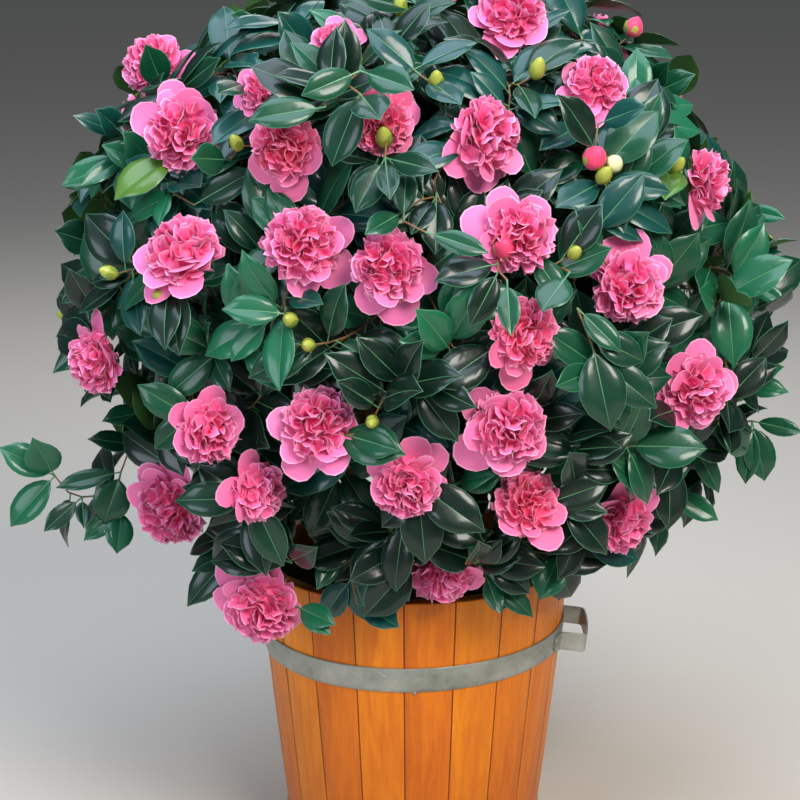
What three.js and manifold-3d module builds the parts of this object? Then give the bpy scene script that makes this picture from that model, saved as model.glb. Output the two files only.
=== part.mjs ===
// Camellia shrub in full bloom, standing in a staved wooden tub with two steel hoops.
// Millimetres, +Z up. The origin is the centre of the tub's flat underside and the front faces -Y.
import * as THREE from "three";
import { mergeVertices } from "three/addons/utils/BufferGeometryUtils.js";
import Module from "manifold-3d";

const wasm = await Module();
wasm.setup();

const UP = new THREE.Vector3(0, 0, 1);
const FRONT = new THREE.Vector3(0, -1, 0);
const GOLDEN_ANGLE = Math.PI * (3 - Math.sqrt(5));
const CLEAR = 0.3; // gap between two pieces that meet
const SEAT = CLEAR * 1.2; // the same where both are round, so that their flats stay apart
const JOIN_TOLERANCE = 0.02;

// Tub
const TUB = {
  height: 380,
  footRadius: 149,
  rimRadius: 190,
  belly: 1.8, // how far the sides swell halfway up
  turn: THREE.MathUtils.degToRad(5.5), // turns the joints off the front's middle
  staves: 20,
  staveThickness: 16,
  outerFaces: 2, // flats across the outside of each stave
  bands: 3, // flats up each stave
  boardThickness: 18,
  soilEdge: 346, // height of the soil where it meets the staves
  soilTop: 356, // height of the flat patch round the stem
  soilPatch: 34, // radius of that patch
  soilShoulder: 0.66, // share of the soil's radius at which its slope eases
  soilSwell: 1, // how far it stands above a straight slope there
  room: 7, // kept free of foliage round the tub, its hoops and its handle
};
const HOOP = { thickness: 1.6, width: 30, upperHeight: 284, upperSlope: 0.0227, lowerHeight: 38 };
const HANDLE = {
  azimuth: THREE.MathUtils.degToRad(-3),
  strapHeight: 22.5,
  thickness: 2.5,
  halfSpan: 46, // from the middle to each leg
  foot: 20, // length of the flange that lies on the hoop
  standOff: 26,
  bow: 3,
  bendRadius: 5,
  aboveHoopMiddle: -1,
};

// Stem and boughs
const STEM = { height: 168, lean: [9, 5], radii: [24, 15.5, 14, 13, 11.5, 9], sides: 8 };
const STEM_LEVELS = [0, 0.09, 0.3, 0.55, 0.8, 1]; // heights of those radii, as shares of the stem
const BOUGH = {
  start: 7.2,
  end: 4.8,
  sides: 5,
  steps: 6,
  lowest: 0.22, // shares of the stem's height between which the boughs leave it
  highest: 0.9,
  collar: 6, // straight stretch that leaves square to the stem
  pull: 0.3, // how far the curve follows its first and last headings
  rise: 0.4,
  insideReach: 0.5, // share of the crown's reach at which a mass begins
};
const LIMB_ROOM = 3; // kept free of foliage round the stem and the boughs

// Crown
const CROWN = {
  centre: new THREE.Vector3(5, 0, 735),
  reach: new THREE.Vector3(435, 392, 350),
  upperPower: 2,
  lowerPower: 2.7, // the underside is blunter than an ellipse
};
const MASSES = { count: 16, lowest: -0.6, highest: 0.97, turn: 0.4, cellGap: 0.4, stem: 46 };
const SHOOTS = {
  count: 89,
  lowest: -0.9,
  highest: 0.99,
  depths: [0.85, 0.7, 0.88, 0.77],
  turn: 1.1,
  bloomRoom: 22, // least distance from a shoot's end to a bloom's rim
};
// How far the shoots reach in the front view, by degrees round it from the right, as shares of the reach
const OUTLINE = {
  angles: [0, 22, 41, 60, 90, 115, 140, 165, 185, 200, 215, 270, 325, 342, 360],
  shares: [0.9, 0.84, 0.9, 0.98, 1, 0.95, 0.98, 0.93, 0.89, 0.87, 0.9, 1, 1, 0.98, 0.9],
};
const TWIG = {
  tipRadius: 2.3,
  sides: 3,
  stepLength: 100,
  tapering: 0.86,
  forward: 0.35, // how much a twig prefers wood that points its way
  budSpacing: 22,
  rootShare: 0.5,
  bends: [0.4, 0.2, 0], // how far it follows that wood at first, the first choice first
};
const LEAF = {
  length: 138,
  width: 68,
  thickness: 1.5,
  lowestFace: -0.2,
  widest: 0.46, // share of the length at which the blade is widest
  fold: 0.05,
  droop: 0.1,
  neck: 0.05, // share of the length that is left out when its room is tested
  perShoot: 5,
  perBloom: 2,
  setBack: 3, // from the shoot's end to its first leaf
  bloomSetBack: 14,
  spacing: 13,
  bearingShare: 0.8, // share of the shoot's last stretch that bears leaves
  seed: 60, // picks one of the plant's possible sets of leaves
};
const LEAF_POSE = {
  tries: 14,
  leastSize: 0.86,
  sizeRange: 0.28,
  leastSpread: 0.25, // how far leaves point out of the crown
  spreadRange: 0.3,
  spreadStep: 0.12,
  sag: 0.18,
  lift: 0.25, // how far their faces turn up
  shorter: 0.78, // size of a leaf that has no room at full length
};
const BLOOM = {
  back: 0.42,
  front: 0.5,
  shoulder: 0.8,
  waist: 0.66,
  petals: 5,
  notch: 0.84,
  depthShare: 0.95,
  stalkEnd: 0.3, // how far behind its centre a bloom's stalk ends
  clearance: 1.5,
};

// Open blooms on the front half: across, height and width in mm, then how far each faces to the
// right of straight ahead and upwards, in degrees. forward is given where one hangs off the crown.
const SEEN_BLOOMS = [
  { across: -297, up: 963, width: 82, right: -25, lift: 25 },
  { across: -248, up: 918, width: 94, right: -15, lift: 10 },
  { across: -160, up: 962, width: 62, right: -20, lift: 30 },
  { across: -133, up: 905, width: 80, right: -10, lift: 5 },
  { across: -243, up: 800, width: 96, right: -25, lift: 50 },
  { across: -108, up: 817, width: 92, right: 15, lift: 20 },
  { across: -25, up: 796, width: 86, right: 10, lift: 15 },
  { across: -31, up: 938, width: 78, right: 20, lift: 5 },
  { across: -84, up: 1009, width: 60, right: -20, lift: 50 },
  { across: 101, up: 1029, width: 88, right: 10, lift: 35 },
  { across: 74, up: 916, width: 92, right: 40, lift: 0 },
  { across: 99, up: 830, width: 86, right: 10, lift: 10 },
  { across: 187, up: 961, width: 76, right: 15, lift: 30 },
  { across: 309, up: 857, width: 80, right: 70, lift: 5 },
  { across: 220, up: 775, width: 88, right: 10, lift: 5 },
  { across: 109, up: 725, width: 84, right: 25, lift: 5 },
  { across: 300, up: 646, width: 88, right: 25, lift: 5 },
  { across: 89, up: 628, width: 92, right: 0, lift: 5 },
  { across: -102, up: 630, width: 92, right: -5, lift: 20 },
  { across: -217, up: 619, width: 82, right: 25, lift: 5 },
  { across: -166, up: 548, width: 76, right: 45, lift: -5 },
  { across: -277, up: 486, width: 98, right: -20, lift: -5 },
  { across: -6, up: 573, width: 82, right: 15, lift: -5 },
  { across: 120, up: 537, width: 84, right: 10, lift: 30 },
  { across: 228, up: 490, width: 88, right: 25, lift: -25 },
  { across: 38, up: 428, width: 90, right: 10, lift: -38, forward: 228 },
  { across: -172, up: 391, width: 98, right: -10, lift: -12, forward: 222 },
  { across: -352, up: 664, width: 82, right: -50, lift: 0 },
];
// Shoots that reach out past the crown's round outline, with leaves of less than full length.
const LONG_SHOOTS = [
  { across: -420, up: 500, forward: 60 },
  { across: -392, up: 540, forward: 20 },
  { across: 392, up: 548, forward: 20 },
  { across: 384, up: 790, forward: 10 },
];
const LONG_SHOOT_LEAF = 0.75;

// Blooms on the sides and the back follow a spiral over the part of the crown behind the seen ones.
const HIDDEN_BLOOMS = {
  count: 40,
  lowest: -0.62,
  highest: 0.96,
  turn: 0.7,
  width: 88,
  frontLimit: -0.27,
  leastSize: 0.86,
  sizeRange: 0.22,
  lift: 0.15,
  spacing: 98, // least distance between two of them
  seed: 5,
};

const STREAM = { factor: 1664525, step: 1013904223, range: 2 ** 32, seedFactor: 7919, seedStep: 12345 };

// A repeatable stream of numbers from 0 to 1.
function randomStream(seed) {
  let state = (seed * STREAM.seedFactor + STREAM.seedStep) % STREAM.range;
  return () => {
    state = (state * STREAM.factor + STREAM.step) % STREAM.range;
    return state / STREAM.range;
  };
}

// The furthest point of the crown in a direction of its unit sphere, times a share of the reach.
function crownPoint(direction, share = 1) {
  const power = direction.z > 0 ? CROWN.upperPower : CROWN.lowerPower;
  const flat = Math.hypot(direction.x, direction.y);
  const size = (flat ** power + Math.abs(direction.z) ** power) ** (1 / power);
  return direction.clone().multiplyScalar(share / size).multiply(CROWN.reach).add(CROWN.centre);
}

// The direction of a point from the crown's centre, on the crown's unit sphere.
function crownDirection(point) {
  return point.clone().sub(CROWN.centre).divide(CROWN.reach).normalize();
}

// The way that the crown's surface faces at a point.
function crownOutward(point) {
  return point.clone().sub(CROWN.centre).divide(CROWN.reach).divide(CROWN.reach).normalize();
}

// The way that leaves at a point turn their faces: out of the crown, but never far downwards.
function leafwards(point) {
  const outward = crownOutward(point);
  outward.z = Math.max(outward.z, LEAF.lowestFace);
  return outward.normalize();
}

// How much of the crown's reach its shoots take in a direction.
function outlineShare(direction) {
  const angle = (THREE.MathUtils.radToDeg(Math.atan2(direction.z, direction.x)) + 360) % 360;
  const next = OUTLINE.angles.findIndex((limit) => limit > angle);
  const span = OUTLINE.angles[next] - OUTLINE.angles[next - 1];
  const share = (angle - OUTLINE.angles[next - 1]) / span;
  const edge = THREE.MathUtils.lerp(OUTLINE.shares[next - 1], OUTLINE.shares[next], share);
  return THREE.MathUtils.lerp(edge, 1, direction.y ** 2);
}

// Directions spread evenly by the golden angle between two heights of the unit sphere.
function spiral({ count, lowest, highest, turn }) {
  return Array.from({ length: count }, (_, index) => {
    const height = lowest + ((highest - lowest) * (index + 0.5)) / count;
    const flat = Math.sqrt(1 - height * height);
    const azimuth = index * GOLDEN_ANGLE + turn;
    return new THREE.Vector3(flat * Math.cos(azimuth), flat * Math.sin(azimuth), height);
  });
}

// How far forward the crown's surface lies at a place seen from the front.
function frontOf(across, up) {
  let near = 0;
  let far = CROWN.reach.y;
  for (let step = 0; step < 30; step++) {
    const middle = (near + far) / 2;
    const point = new THREE.Vector3(across, -middle, up);
    const limit = crownPoint(crownDirection(point), BLOOM.depthShare).distanceTo(CROWN.centre);
    if (point.distanceTo(CROWN.centre) < limit) near = middle;
    else far = middle;
  }
  return near;
}

// Outer radius of the tub at a height.
function tubRadius(height) {
  const share = height / TUB.height;
  const straight = THREE.MathUtils.lerp(TUB.footRadius, TUB.rimRadius, share);
  return straight + TUB.belly * Math.sin(Math.PI * share);
}

// A closed surface through rings of points, with a flat cap on each end or joined end to end.
function skin(rings, joined = false) {
  const size = rings[0].length;
  const positions = rings.flat().flatMap((point) => [point.x, point.y, point.z]);
  const faces = [];
  const bands = joined ? rings.length : rings.length - 1;
  for (let band = 0; band < bands; band++) {
    const low = band * size;
    const high = ((band + 1) % rings.length) * size;
    for (let side = 0; side < size; side++) {
      const next = (side + 1) % size;
      faces.push(low + side, low + next, high + next);
      faces.push(low + side, high + next, high + side);
    }
  }
  const top = (rings.length - 1) * size;
  for (let side = 1; !joined && side < size - 1; side++) {
    faces.push(0, side + 1, side);
    faces.push(top, top + side, top + side + 1);
  }
  const geometry = new THREE.BufferGeometry();
  geometry.setAttribute("position", new THREE.Float32BufferAttribute(positions, 3));
  geometry.setIndex(faces);
  return geometry;
}

// A limb with flat ends along a list of points, with one radius for each point.
function limb(points, radii, sides) {
  const rings = [];
  let side = new THREE.Vector3(1, 0, 0);
  points.forEach((point, index) => {
    const before = points[Math.max(index - 1, 0)];
    const after = points[Math.min(index + 1, points.length - 1)];
    const along = after.clone().sub(before).normalize();
    if (Math.abs(side.dot(along)) > 0.9) side = new THREE.Vector3(0, 1, 0);
    side = side.clone().addScaledVector(along, -side.dot(along)).normalize();
    const other = along.clone().cross(side);
    const ring = Array.from({ length: sides }, (_, corner) => {
      const angle = (corner / sides) * 2 * Math.PI;
      const spoke = side.clone().multiplyScalar(Math.cos(angle));
      spoke.addScaledVector(other, Math.sin(angle));
      return point.clone().addScaledVector(spoke, radii[index]);
    });
    rings.push(ring);
  });
  return skin(rings);
}

function solidOf(geometry) {
  const plain = geometry.clone();
  plain.deleteAttribute("normal");
  plain.deleteAttribute("uv");
  const merged = mergeVertices(plain, 1e-3);
  const corners = merged.index.array;
  const faces = [];
  for (let first = 0; first < corners.length; first += 3) {
    const [a, b, c] = corners.slice(first, first + 3);
    if (a !== b && b !== c && c !== a) faces.push(a, b, c);
  }
  const vertProperties = new Float32Array(merged.attributes.position.array);
  return new wasm.Manifold(
    new wasm.Mesh({ numProp: 3, vertProperties, triVerts: new Uint32Array(faces) }),
  );
}

function geometryOf(solid) {
  const mesh = solid.getMesh();
  const geometry = new THREE.BufferGeometry();
  geometry.setAttribute("position", new THREE.BufferAttribute(mesh.vertProperties, 3));
  geometry.setIndex(new THREE.BufferAttribute(mesh.triVerts, 1));
  return geometry;
}

function joined(geometries) {
  const solids = geometries.map(solidOf);
  const whole = wasm.Manifold.union(solids).simplify(JOIN_TOLERANCE);
  const bodies = whole.decompose().sort((a, b) => b.volume() - a.volume());
  return geometryOf(bodies[0]);
}

// Materials
const paint = (color, roughness, metalness = 0) =>
  new THREE.MeshStandardMaterial({ color, roughness, metalness });
const WOOD = paint(0xd07428, 0.42);
const STEEL = paint(0x868c7c, 0.5, 0.8);
const SOIL = paint(0x33261c, 0.95);
const BARK = paint(0x6f5240, 0.85);
const FOLIAGE = paint(0x145238, 0.35);

function part(name, geometry, material) {
  const mesh = new THREE.Mesh(geometry, material);
  mesh.name = name;
  return mesh;
}

// One stave about the +X direction: a wedge with flats outside and one flat inside.
function staveGeometry() {
  const ring = (height) => {
    const outer = tubRadius(height);
    const inner = outer - TUB.staveThickness;
    const half = Math.PI / TUB.staves - CLEAR / 2 / outer;
    const points = [];
    for (let corner = 0; corner <= TUB.outerFaces; corner++) {
      const angle = THREE.MathUtils.lerp(-half, half, corner / TUB.outerFaces);
      points.push(new THREE.Vector3(outer * Math.cos(angle), outer * Math.sin(angle), height));
    }
    const innerHalf = Math.PI / TUB.staves - CLEAR / 2 / inner;
    for (const angle of [innerHalf, -innerHalf]) {
      points.push(new THREE.Vector3(inner * Math.cos(angle), inner * Math.sin(angle), height));
    }
    return points;
  };
  const levels = Array.from({ length: TUB.bands + 1 }, (_, level) => (level / TUB.bands) * TUB.height);
  return skin(levels.map(ring));
}

// A ring of corners that line up with the joints between the staves.
function jointRing(radius, height) {
  return Array.from({ length: TUB.staves }, (_, corner) => {
    const angle = ((corner + 0.5) / TUB.staves) * 2 * Math.PI + TUB.turn;
    return new THREE.Vector3(radius * Math.cos(angle), radius * Math.sin(angle), height);
  });
}

function innerRadius(height) {
  return tubRadius(height) - TUB.staveThickness - SEAT;
}

function boardGeometry() {
  return skin([jointRing(innerRadius(0), 0), jointRing(innerRadius(0), TUB.boardThickness)]);
}

function soilGeometry() {
  const bottom = TUB.boardThickness + CLEAR;
  const halfway = (TUB.soilEdge + TUB.soilTop) / 2;
  return skin([
    jointRing(innerRadius(bottom), bottom),
    jointRing(innerRadius(TUB.soilEdge), TUB.soilEdge),
    jointRing(innerRadius(TUB.soilEdge) * TUB.soilShoulder, halfway + TUB.soilSwell),
    jointRing(TUB.soilPatch, TUB.soilTop),
  ]);
}

// A strip round the staves, on the slant of their sides. slope lifts its +X side.
function hoopGeometry(middle, slope) {
  const corners = TUB.staves * TUB.outerFaces;
  const rings = Array.from({ length: corners }, (_, corner) => {
    const angle = ((corner + 0.5 * TUB.outerFaces) / corners) * 2 * Math.PI + TUB.turn;
    const level = middle + slope * tubRadius(middle) * Math.cos(angle);
    const place = (height, lift) => {
      const radius = tubRadius(height) + SEAT + lift;
      return new THREE.Vector3(radius * Math.cos(angle), radius * Math.sin(angle), height);
    };
    const low = level - HOOP.width / 2;
    const high = level + HOOP.width / 2;
    return [place(low, 0), place(high, 0), place(high, HOOP.thickness), place(low, HOOP.thickness)];
  });
  return skin(rings, true);
}

// The handle's strap seen from above, about the point where its middle would meet the hoop.
function handleGeometry(hoopRadius) {
  const rest = HANDLE.thickness / 2 + CLEAR * 2;
  const onHoop = (across) => Math.sqrt(hoopRadius ** 2 - across ** 2) - hoopRadius + rest;
  const { halfSpan, foot, standOff, bow, bendRadius } = HANDLE;
  const half = new THREE.Path();
  half.moveTo(onHoop(halfSpan + foot), -halfSpan - foot);
  half.lineTo(onHoop(halfSpan + bendRadius), -halfSpan - bendRadius);
  half.quadraticCurveTo(onHoop(halfSpan), -halfSpan, onHoop(halfSpan) + bendRadius, -halfSpan);
  half.lineTo(standOff - bendRadius, -halfSpan);
  half.quadraticCurveTo(standOff, -halfSpan, standOff + bow * 0.25, -halfSpan + bendRadius);
  half.quadraticCurveTo(standOff + bow, -halfSpan / 2, standOff + bow, 0);
  const front = half.getPoints(4);
  const back = front.slice(0, -1).reverse().map((point) => new THREE.Vector2(point.x, -point.y));
  const middle = [...front, ...back];
  const edge = (offset) =>
    middle.map((point, index) => {
      const before = middle[Math.max(index - 1, 0)];
      const after = middle[Math.min(index + 1, middle.length - 1)];
      const along = after.clone().sub(before).normalize();
      return new THREE.Vector2(point.x + along.y * offset, point.y - along.x * offset);
    });
  const outline = [...edge(HANDLE.thickness / 2), ...edge(-HANDLE.thickness / 2).reverse()];
  return new THREE.ExtrudeGeometry(new THREE.Shape(outline), {
    depth: HANDLE.strapHeight,
    bevelEnabled: false,
  });
}

function buildTub() {
  const tub = new THREE.Group();
  for (let index = 0; index < TUB.staves; index++) {
    const stave = part("tub_stave_" + String(index + 1).padStart(2, "0"), staveGeometry(), WOOD);
    stave.rotation.z = (index / TUB.staves) * 2 * Math.PI + TUB.turn;
    tub.add(stave);
  }
  tub.add(part("tub_board", boardGeometry(), WOOD));
  tub.add(part("hoop_upper", hoopGeometry(HOOP.upperHeight, HOOP.upperSlope), STEEL));
  tub.add(part("hoop_lower", hoopGeometry(HOOP.lowerHeight, 0), STEEL));
  tub.add(part("soil", soilGeometry(), SOIL));
  tub.add(buildHandle());
  return tub;
}

// The strap leans out with the side of the tub, on a group turned to its place on the hoop.
function buildHandle() {
  const level = HOOP.upperHeight + HANDLE.aboveHoopMiddle;
  const radius = tubRadius(level) + SEAT + HOOP.thickness;
  const lean = Math.atan((TUB.rimRadius - TUB.footRadius) / TUB.height);
  const handle = part("handle", handleGeometry(radius), STEEL);
  handle.position.z = -HANDLE.strapHeight / 2;
  const leaning = new THREE.Group();
  leaning.rotation.y = lean;
  leaning.position.set(radius, 0, level);
  leaning.add(handle);
  const turned = new THREE.Group();
  turned.rotation.z = HANDLE.azimuth;
  turned.add(leaning);
  return turned;
}

// Points of the stem's middle line, from the soil to its top.
function stemPoint(share) {
  const bottom = TUB.soilTop + CLEAR;
  return new THREE.Vector3(
    STEM.lean[0] * share * share,
    STEM.lean[1] * share * share,
    bottom + STEM.height * share,
  );
}

function stemRadius(share) {
  const level = STEM_LEVELS.findIndex((value) => value >= share);
  if (level <= 0) return STEM.radii[0];
  const low = STEM_LEVELS[level - 1];
  const part = (share - low) / (STEM_LEVELS[level] - low);
  return THREE.MathUtils.lerp(STEM.radii[level - 1], STEM.radii[level], part);
}

// The middle line of the bough that carries one mass. It leaves the stem level and turns upwards.
function boughPoints(direction, index) {
  const tip = crownPoint(direction, BOUGH.insideReach);
  const onTop = index === MASSES.count - 1;
  const share = onTop
    ? 1
    : THREE.MathUtils.lerp(BOUGH.lowest, BOUGH.highest, index / (MASSES.count - 2));
  const root = stemPoint(share);
  const away = tip.clone().sub(root).setZ(0).normalize();
  const stemEnd = root.clone().sub(stemPoint(STEM_LEVELS.at(-2))).normalize();
  const leaving = onTop ? stemEnd : away;
  root.addScaledVector(leaving, onTop ? CLEAR : stemRadius(share) + CLEAR * 3);
  const collar = root.clone().addScaledVector(leaving, BOUGH.collar);
  const pull = BOUGH.pull * collar.distanceTo(tip);
  const curve = new THREE.CubicBezierCurve3(
    collar,
    collar.clone().addScaledVector(leaving, pull).addScaledVector(UP, pull * BOUGH.rise),
    tip.clone().addScaledVector(boughHeading(root, tip), -pull),
    tip,
  );
  return [root, ...curve.getPoints(BOUGH.steps - 1)];
}

function boughHeading(root, tip) {
  const straight = tip.clone().sub(root).normalize();
  return straight.add(crownOutward(tip)).normalize();
}

function boughRadii() {
  return Array.from({ length: BOUGH.steps + 1 }, (_, step) =>
    THREE.MathUtils.lerp(BOUGH.start, BOUGH.end, step / BOUGH.steps),
  );
}

// Blooms as places with a width and the way they face.
function facing(right, lift) {
  const azimuth = THREE.MathUtils.degToRad(right);
  const height = THREE.MathUtils.degToRad(lift);
  const flat = Math.cos(height);
  return new THREE.Vector3(flat * Math.sin(azimuth), -flat * Math.cos(azimuth), Math.sin(height));
}

function seenBlooms() {
  return SEEN_BLOOMS.map(({ across, up, width, right, lift, forward }) => ({
    centre: new THREE.Vector3(across, -(forward ?? frontOf(across, up)), up),
    radius: width / 2,
    facing: facing(right, lift),
  }));
}

function hiddenBlooms(taken) {
  const random = randomStream(HIDDEN_BLOOMS.seed);
  const blooms = [];
  for (const direction of spiral(HIDDEN_BLOOMS)) {
    const size = HIDDEN_BLOOMS.leastSize + HIDDEN_BLOOMS.sizeRange * random();
    const centre = crownPoint(direction, BLOOM.depthShare);
    const tooNear = (other) => other.centre.distanceTo(centre) < HIDDEN_BLOOMS.spacing;
    const clash = [...taken, ...blooms].some(tooNear);
    if (direction.dot(FRONT) > HIDDEN_BLOOMS.frontLimit || clash) continue;
    const outward = crownOutward(centre).addScaledVector(UP, HIDDEN_BLOOMS.lift * random());
    blooms.push({ centre, radius: (HIDDEN_BLOOMS.width / 2) * size, facing: outward.normalize() });
  }
  return blooms;
}

// A bloom's solid: a cup of petals round a crowned heart.
function bloomGeometry({ centre, radius, facing }) {
  const profile = [
    new THREE.Vector2(0, -radius * BLOOM.back),
    new THREE.Vector2(radius, 0),
    new THREE.Vector2(radius * BLOOM.waist, radius * BLOOM.front * BLOOM.shoulder),
    new THREE.Vector2(0, radius * BLOOM.front),
  ];
  const geometry = new THREE.LatheGeometry(profile, BLOOM.petals * 2);
  const position = geometry.attributes.position;
  for (let index = 0; index < position.count; index++) {
    const petal = Math.floor(index / profile.length);
    const onRim = index % profile.length === 1;
    const shrink = onRim && petal % 2 === 1 ? BLOOM.notch : 1;
    position.setX(index, position.getX(index) * shrink);
    position.setZ(index, position.getZ(index) * shrink);
  }
  const turn = new THREE.Quaternion().setFromUnitVectors(new THREE.Vector3(0, 1, 0), facing);
  geometry.applyQuaternion(turn);
  geometry.translate(centre.x, centre.y, centre.z);
  return geometry;
}

// A leaf's solid: eight faces, widest near the middle, folded along its rib, with a drooping tip.
function leafCorners({ base, heading, face, length }) {
  const width = (LEAF.width * length) / LEAF.length;
  const across = face.clone().cross(heading).normalize();
  const place = (along, side, lift) =>
    base
      .clone()
      .addScaledVector(heading, along * length)
      .addScaledVector(across, side * width)
      .addScaledVector(face, lift);
  const half = LEAF.thickness / 2;
  return {
    root: place(0, 0, 0),
    tip: place(1, 0, -LEAF.droop * length),
    left: place(LEAF.widest, 0.5, LEAF.fold * length),
    right: place(LEAF.widest, -0.5, LEAF.fold * length),
    upper: place(LEAF.widest, 0, half),
    lower: place(LEAF.widest, 0, -half),
  };
}

function leafGeometry(leaf) {
  const { root, tip, left, right, upper, lower } = leafCorners(leaf);
  const corners = [root, tip, left, right, upper, lower];
  const geometry = new THREE.BufferGeometry();
  const positions = corners.flatMap((point) => [point.x, point.y, point.z]);
  geometry.setAttribute("position", new THREE.Float32BufferAttribute(positions, 3));
  geometry.setIndex([0, 4, 2, 4, 1, 2, 0, 3, 4, 3, 1, 4, 0, 2, 5, 2, 1, 5, 0, 5, 3, 5, 1, 3]);
  return geometry;
}

// A leaf as points, edges and triangles, by which its room is tested. It begins a little way out
// from the twig that bears it.
function outlineOf(leaf) {
  const { root, tip, left, right } = leafCorners(leaf);
  const neck = root.clone().lerp(tip, LEAF.neck);
  const middle = left.clone().add(right).multiplyScalar(0.5);
  const between = (from, to, share) => from.clone().lerp(to, share);
  const points = [tip, left, right, middle, between(middle, tip, 0.5), between(neck, middle, 0.4)];
  for (const side of [left, right]) points.push(between(neck, side, 0.5), between(side, tip, 0.5));
  const edges = [
    [neck, left],
    [left, tip],
    [tip, right],
    [right, neck],
    [neck, middle],
    [middle, tip],
  ];
  const triangles = [
    [neck, left, middle],
    [left, tip, middle],
    [neck, middle, right],
    [middle, tip, right],
  ];
  return { points, edges, triangles };
}

function pierces([from, to], [a, b, c]) {
  const ray = new THREE.Ray(from, to.clone().sub(from).normalize());
  const hit = ray.intersectTriangle(a, b, c, false, new THREE.Vector3());
  return hit !== null && hit.distanceTo(from) < from.distanceTo(to);
}

function cutsThrough(edges, triangles) {
  return edges.some((edge) => triangles.some((triangle) => pierces(edge, triangle)));
}

function leavesCross(one, other) {
  return cutsThrough(one.edges, other.triangles) || cutsThrough(other.edges, one.triangles);
}

function distanceToLine(point, points) {
  let least = Infinity;
  const near = new THREE.Vector3();
  for (let index = 1; index < points.length; index++) {
    new THREE.Line3(points[index - 1], points[index]).closestPointToPoint(point, true, near);
    least = Math.min(least, near.distanceTo(point));
  }
  return least;
}

// Whether a point keeps off the tub, its hoops and its handle.
function clearOfTub(point) {
  const fromAxis = Math.hypot(point.x, point.y);
  const height = Math.min(point.z, TUB.height);
  if (fromAxis < tubRadius(height) + TUB.room && point.z < TUB.height + TUB.room) return false;
  const handleReach = tubRadius(TUB.height) + HANDLE.standOff;
  const besideHandle = Math.abs(point.y) < HANDLE.halfSpan + HANDLE.foot + TUB.room && point.x > 0;
  const handleTop = HOOP.upperHeight + HANDLE.strapHeight;
  return !(besideHandle && fromAxis < handleReach && point.z < handleTop);
}

// The space that one mass keeps to: its share of the crown, clear of limbs and of other blooms.
function spaceOf(own, masses, limbs) {
  const walls = masses
    .filter((other) => other !== own)
    .map((other) => own.direction.clone().sub(other.direction).divide(CROWN.reach).normalize());
  const strangers = masses.filter((other) => other !== own).flatMap((other) => other.blooms);
  return (point) => {
    const fromCentre = point.clone().sub(CROWN.centre);
    return (
      walls.every((wall) => wall.dot(fromCentre) > MASSES.cellGap) &&
      strangers.every((b) => b.centre.distanceTo(point) > b.radius + BLOOM.clearance) &&
      limbs.every(({ points, room }) => distanceToLine(point, points) > room) &&
      clearOfTub(point)
    );
  };
}

// Twigs that branch from one stem: each reaches for its place from the nearest wood behind it.
function growTwigs(mass, fits) {
  const { foot, heading, targets } = mass;
  const wood = [];
  const twigs = [];
  const addTwig = (points, radii) => {
    twigs.push({ points, radii });
    points.slice(1).forEach((point, index) => {
      const from = points[index];
      const along = point.clone().sub(from).normalize();
      const places = Math.max(1, Math.round(point.distanceTo(from) / TWIG.budSpacing));
      for (let place = 1; place <= places; place++) {
        const share = place / places;
        const radius = THREE.MathUtils.lerp(radii[index], radii[index + 1], share);
        wood.push({ point: from.clone().lerp(point, share), along, radius });
      }
    });
    wood.pop();
  };
  const start = foot.clone().addScaledVector(heading, CLEAR);
  const stem = [0, 0.5, 1].map((s) => start.clone().addScaledVector(heading, MASSES.stem * s));
  addTwig(stem, [BOUGH.end, BOUGH.end * 0.85, BOUGH.end * 0.7]);
  const reached = [];
  const nearestFirst = (a, b) => a.point.distanceTo(foot) - b.point.distanceTo(foot);
  for (const target of [...targets].sort(nearestFirst)) {
    const twig = reachFor(target, wood, fits);
    if (!twig) continue;
    wood.splice(wood.indexOf(twig.from), 1);
    addTwig(twig.points, twig.radii);
    reached.push({ ...target, points: twig.points });
  }
  return { twigs, reached };
}

function reachFor(target, wood, fits) {
  const cost = ({ point, along }) => {
    const gap = target.point.clone().sub(point);
    const length = gap.length();
    return length * (1 + TWIG.forward * (1 - along.dot(gap) / length));
  };
  const from = wood.reduce((best, next) => (cost(next) < cost(best) ? next : best));
  const length = from.point.distanceTo(target.point);
  const steps = Math.max(1, Math.round(length / TWIG.stepLength));
  for (const bend of TWIG.bends) {
    const control = from.point.clone().addScaledVector(from.along, length * bend);
    const midway = from.point.clone().lerp(target.point, 0.5);
    const curve = new THREE.QuadraticBezierCurve3(
      from.point,
      bend ? control : midway,
      target.point,
    );
    const points = curve.getPoints(steps);
    const room = points.slice(1).every((point) => fits(point) || target.bloom);
    if (!room) continue;
    const thick = Math.max(from.radius * TWIG.tapering, TWIG.tipRadius);
    const radii = points.map((_, i) => THREE.MathUtils.lerp(thick, TWIG.tipRadius, i / steps));
    radii[0] = from.radius * TWIG.rootShare;
    return { from, points, radii };
  }
  return null;
}

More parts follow.
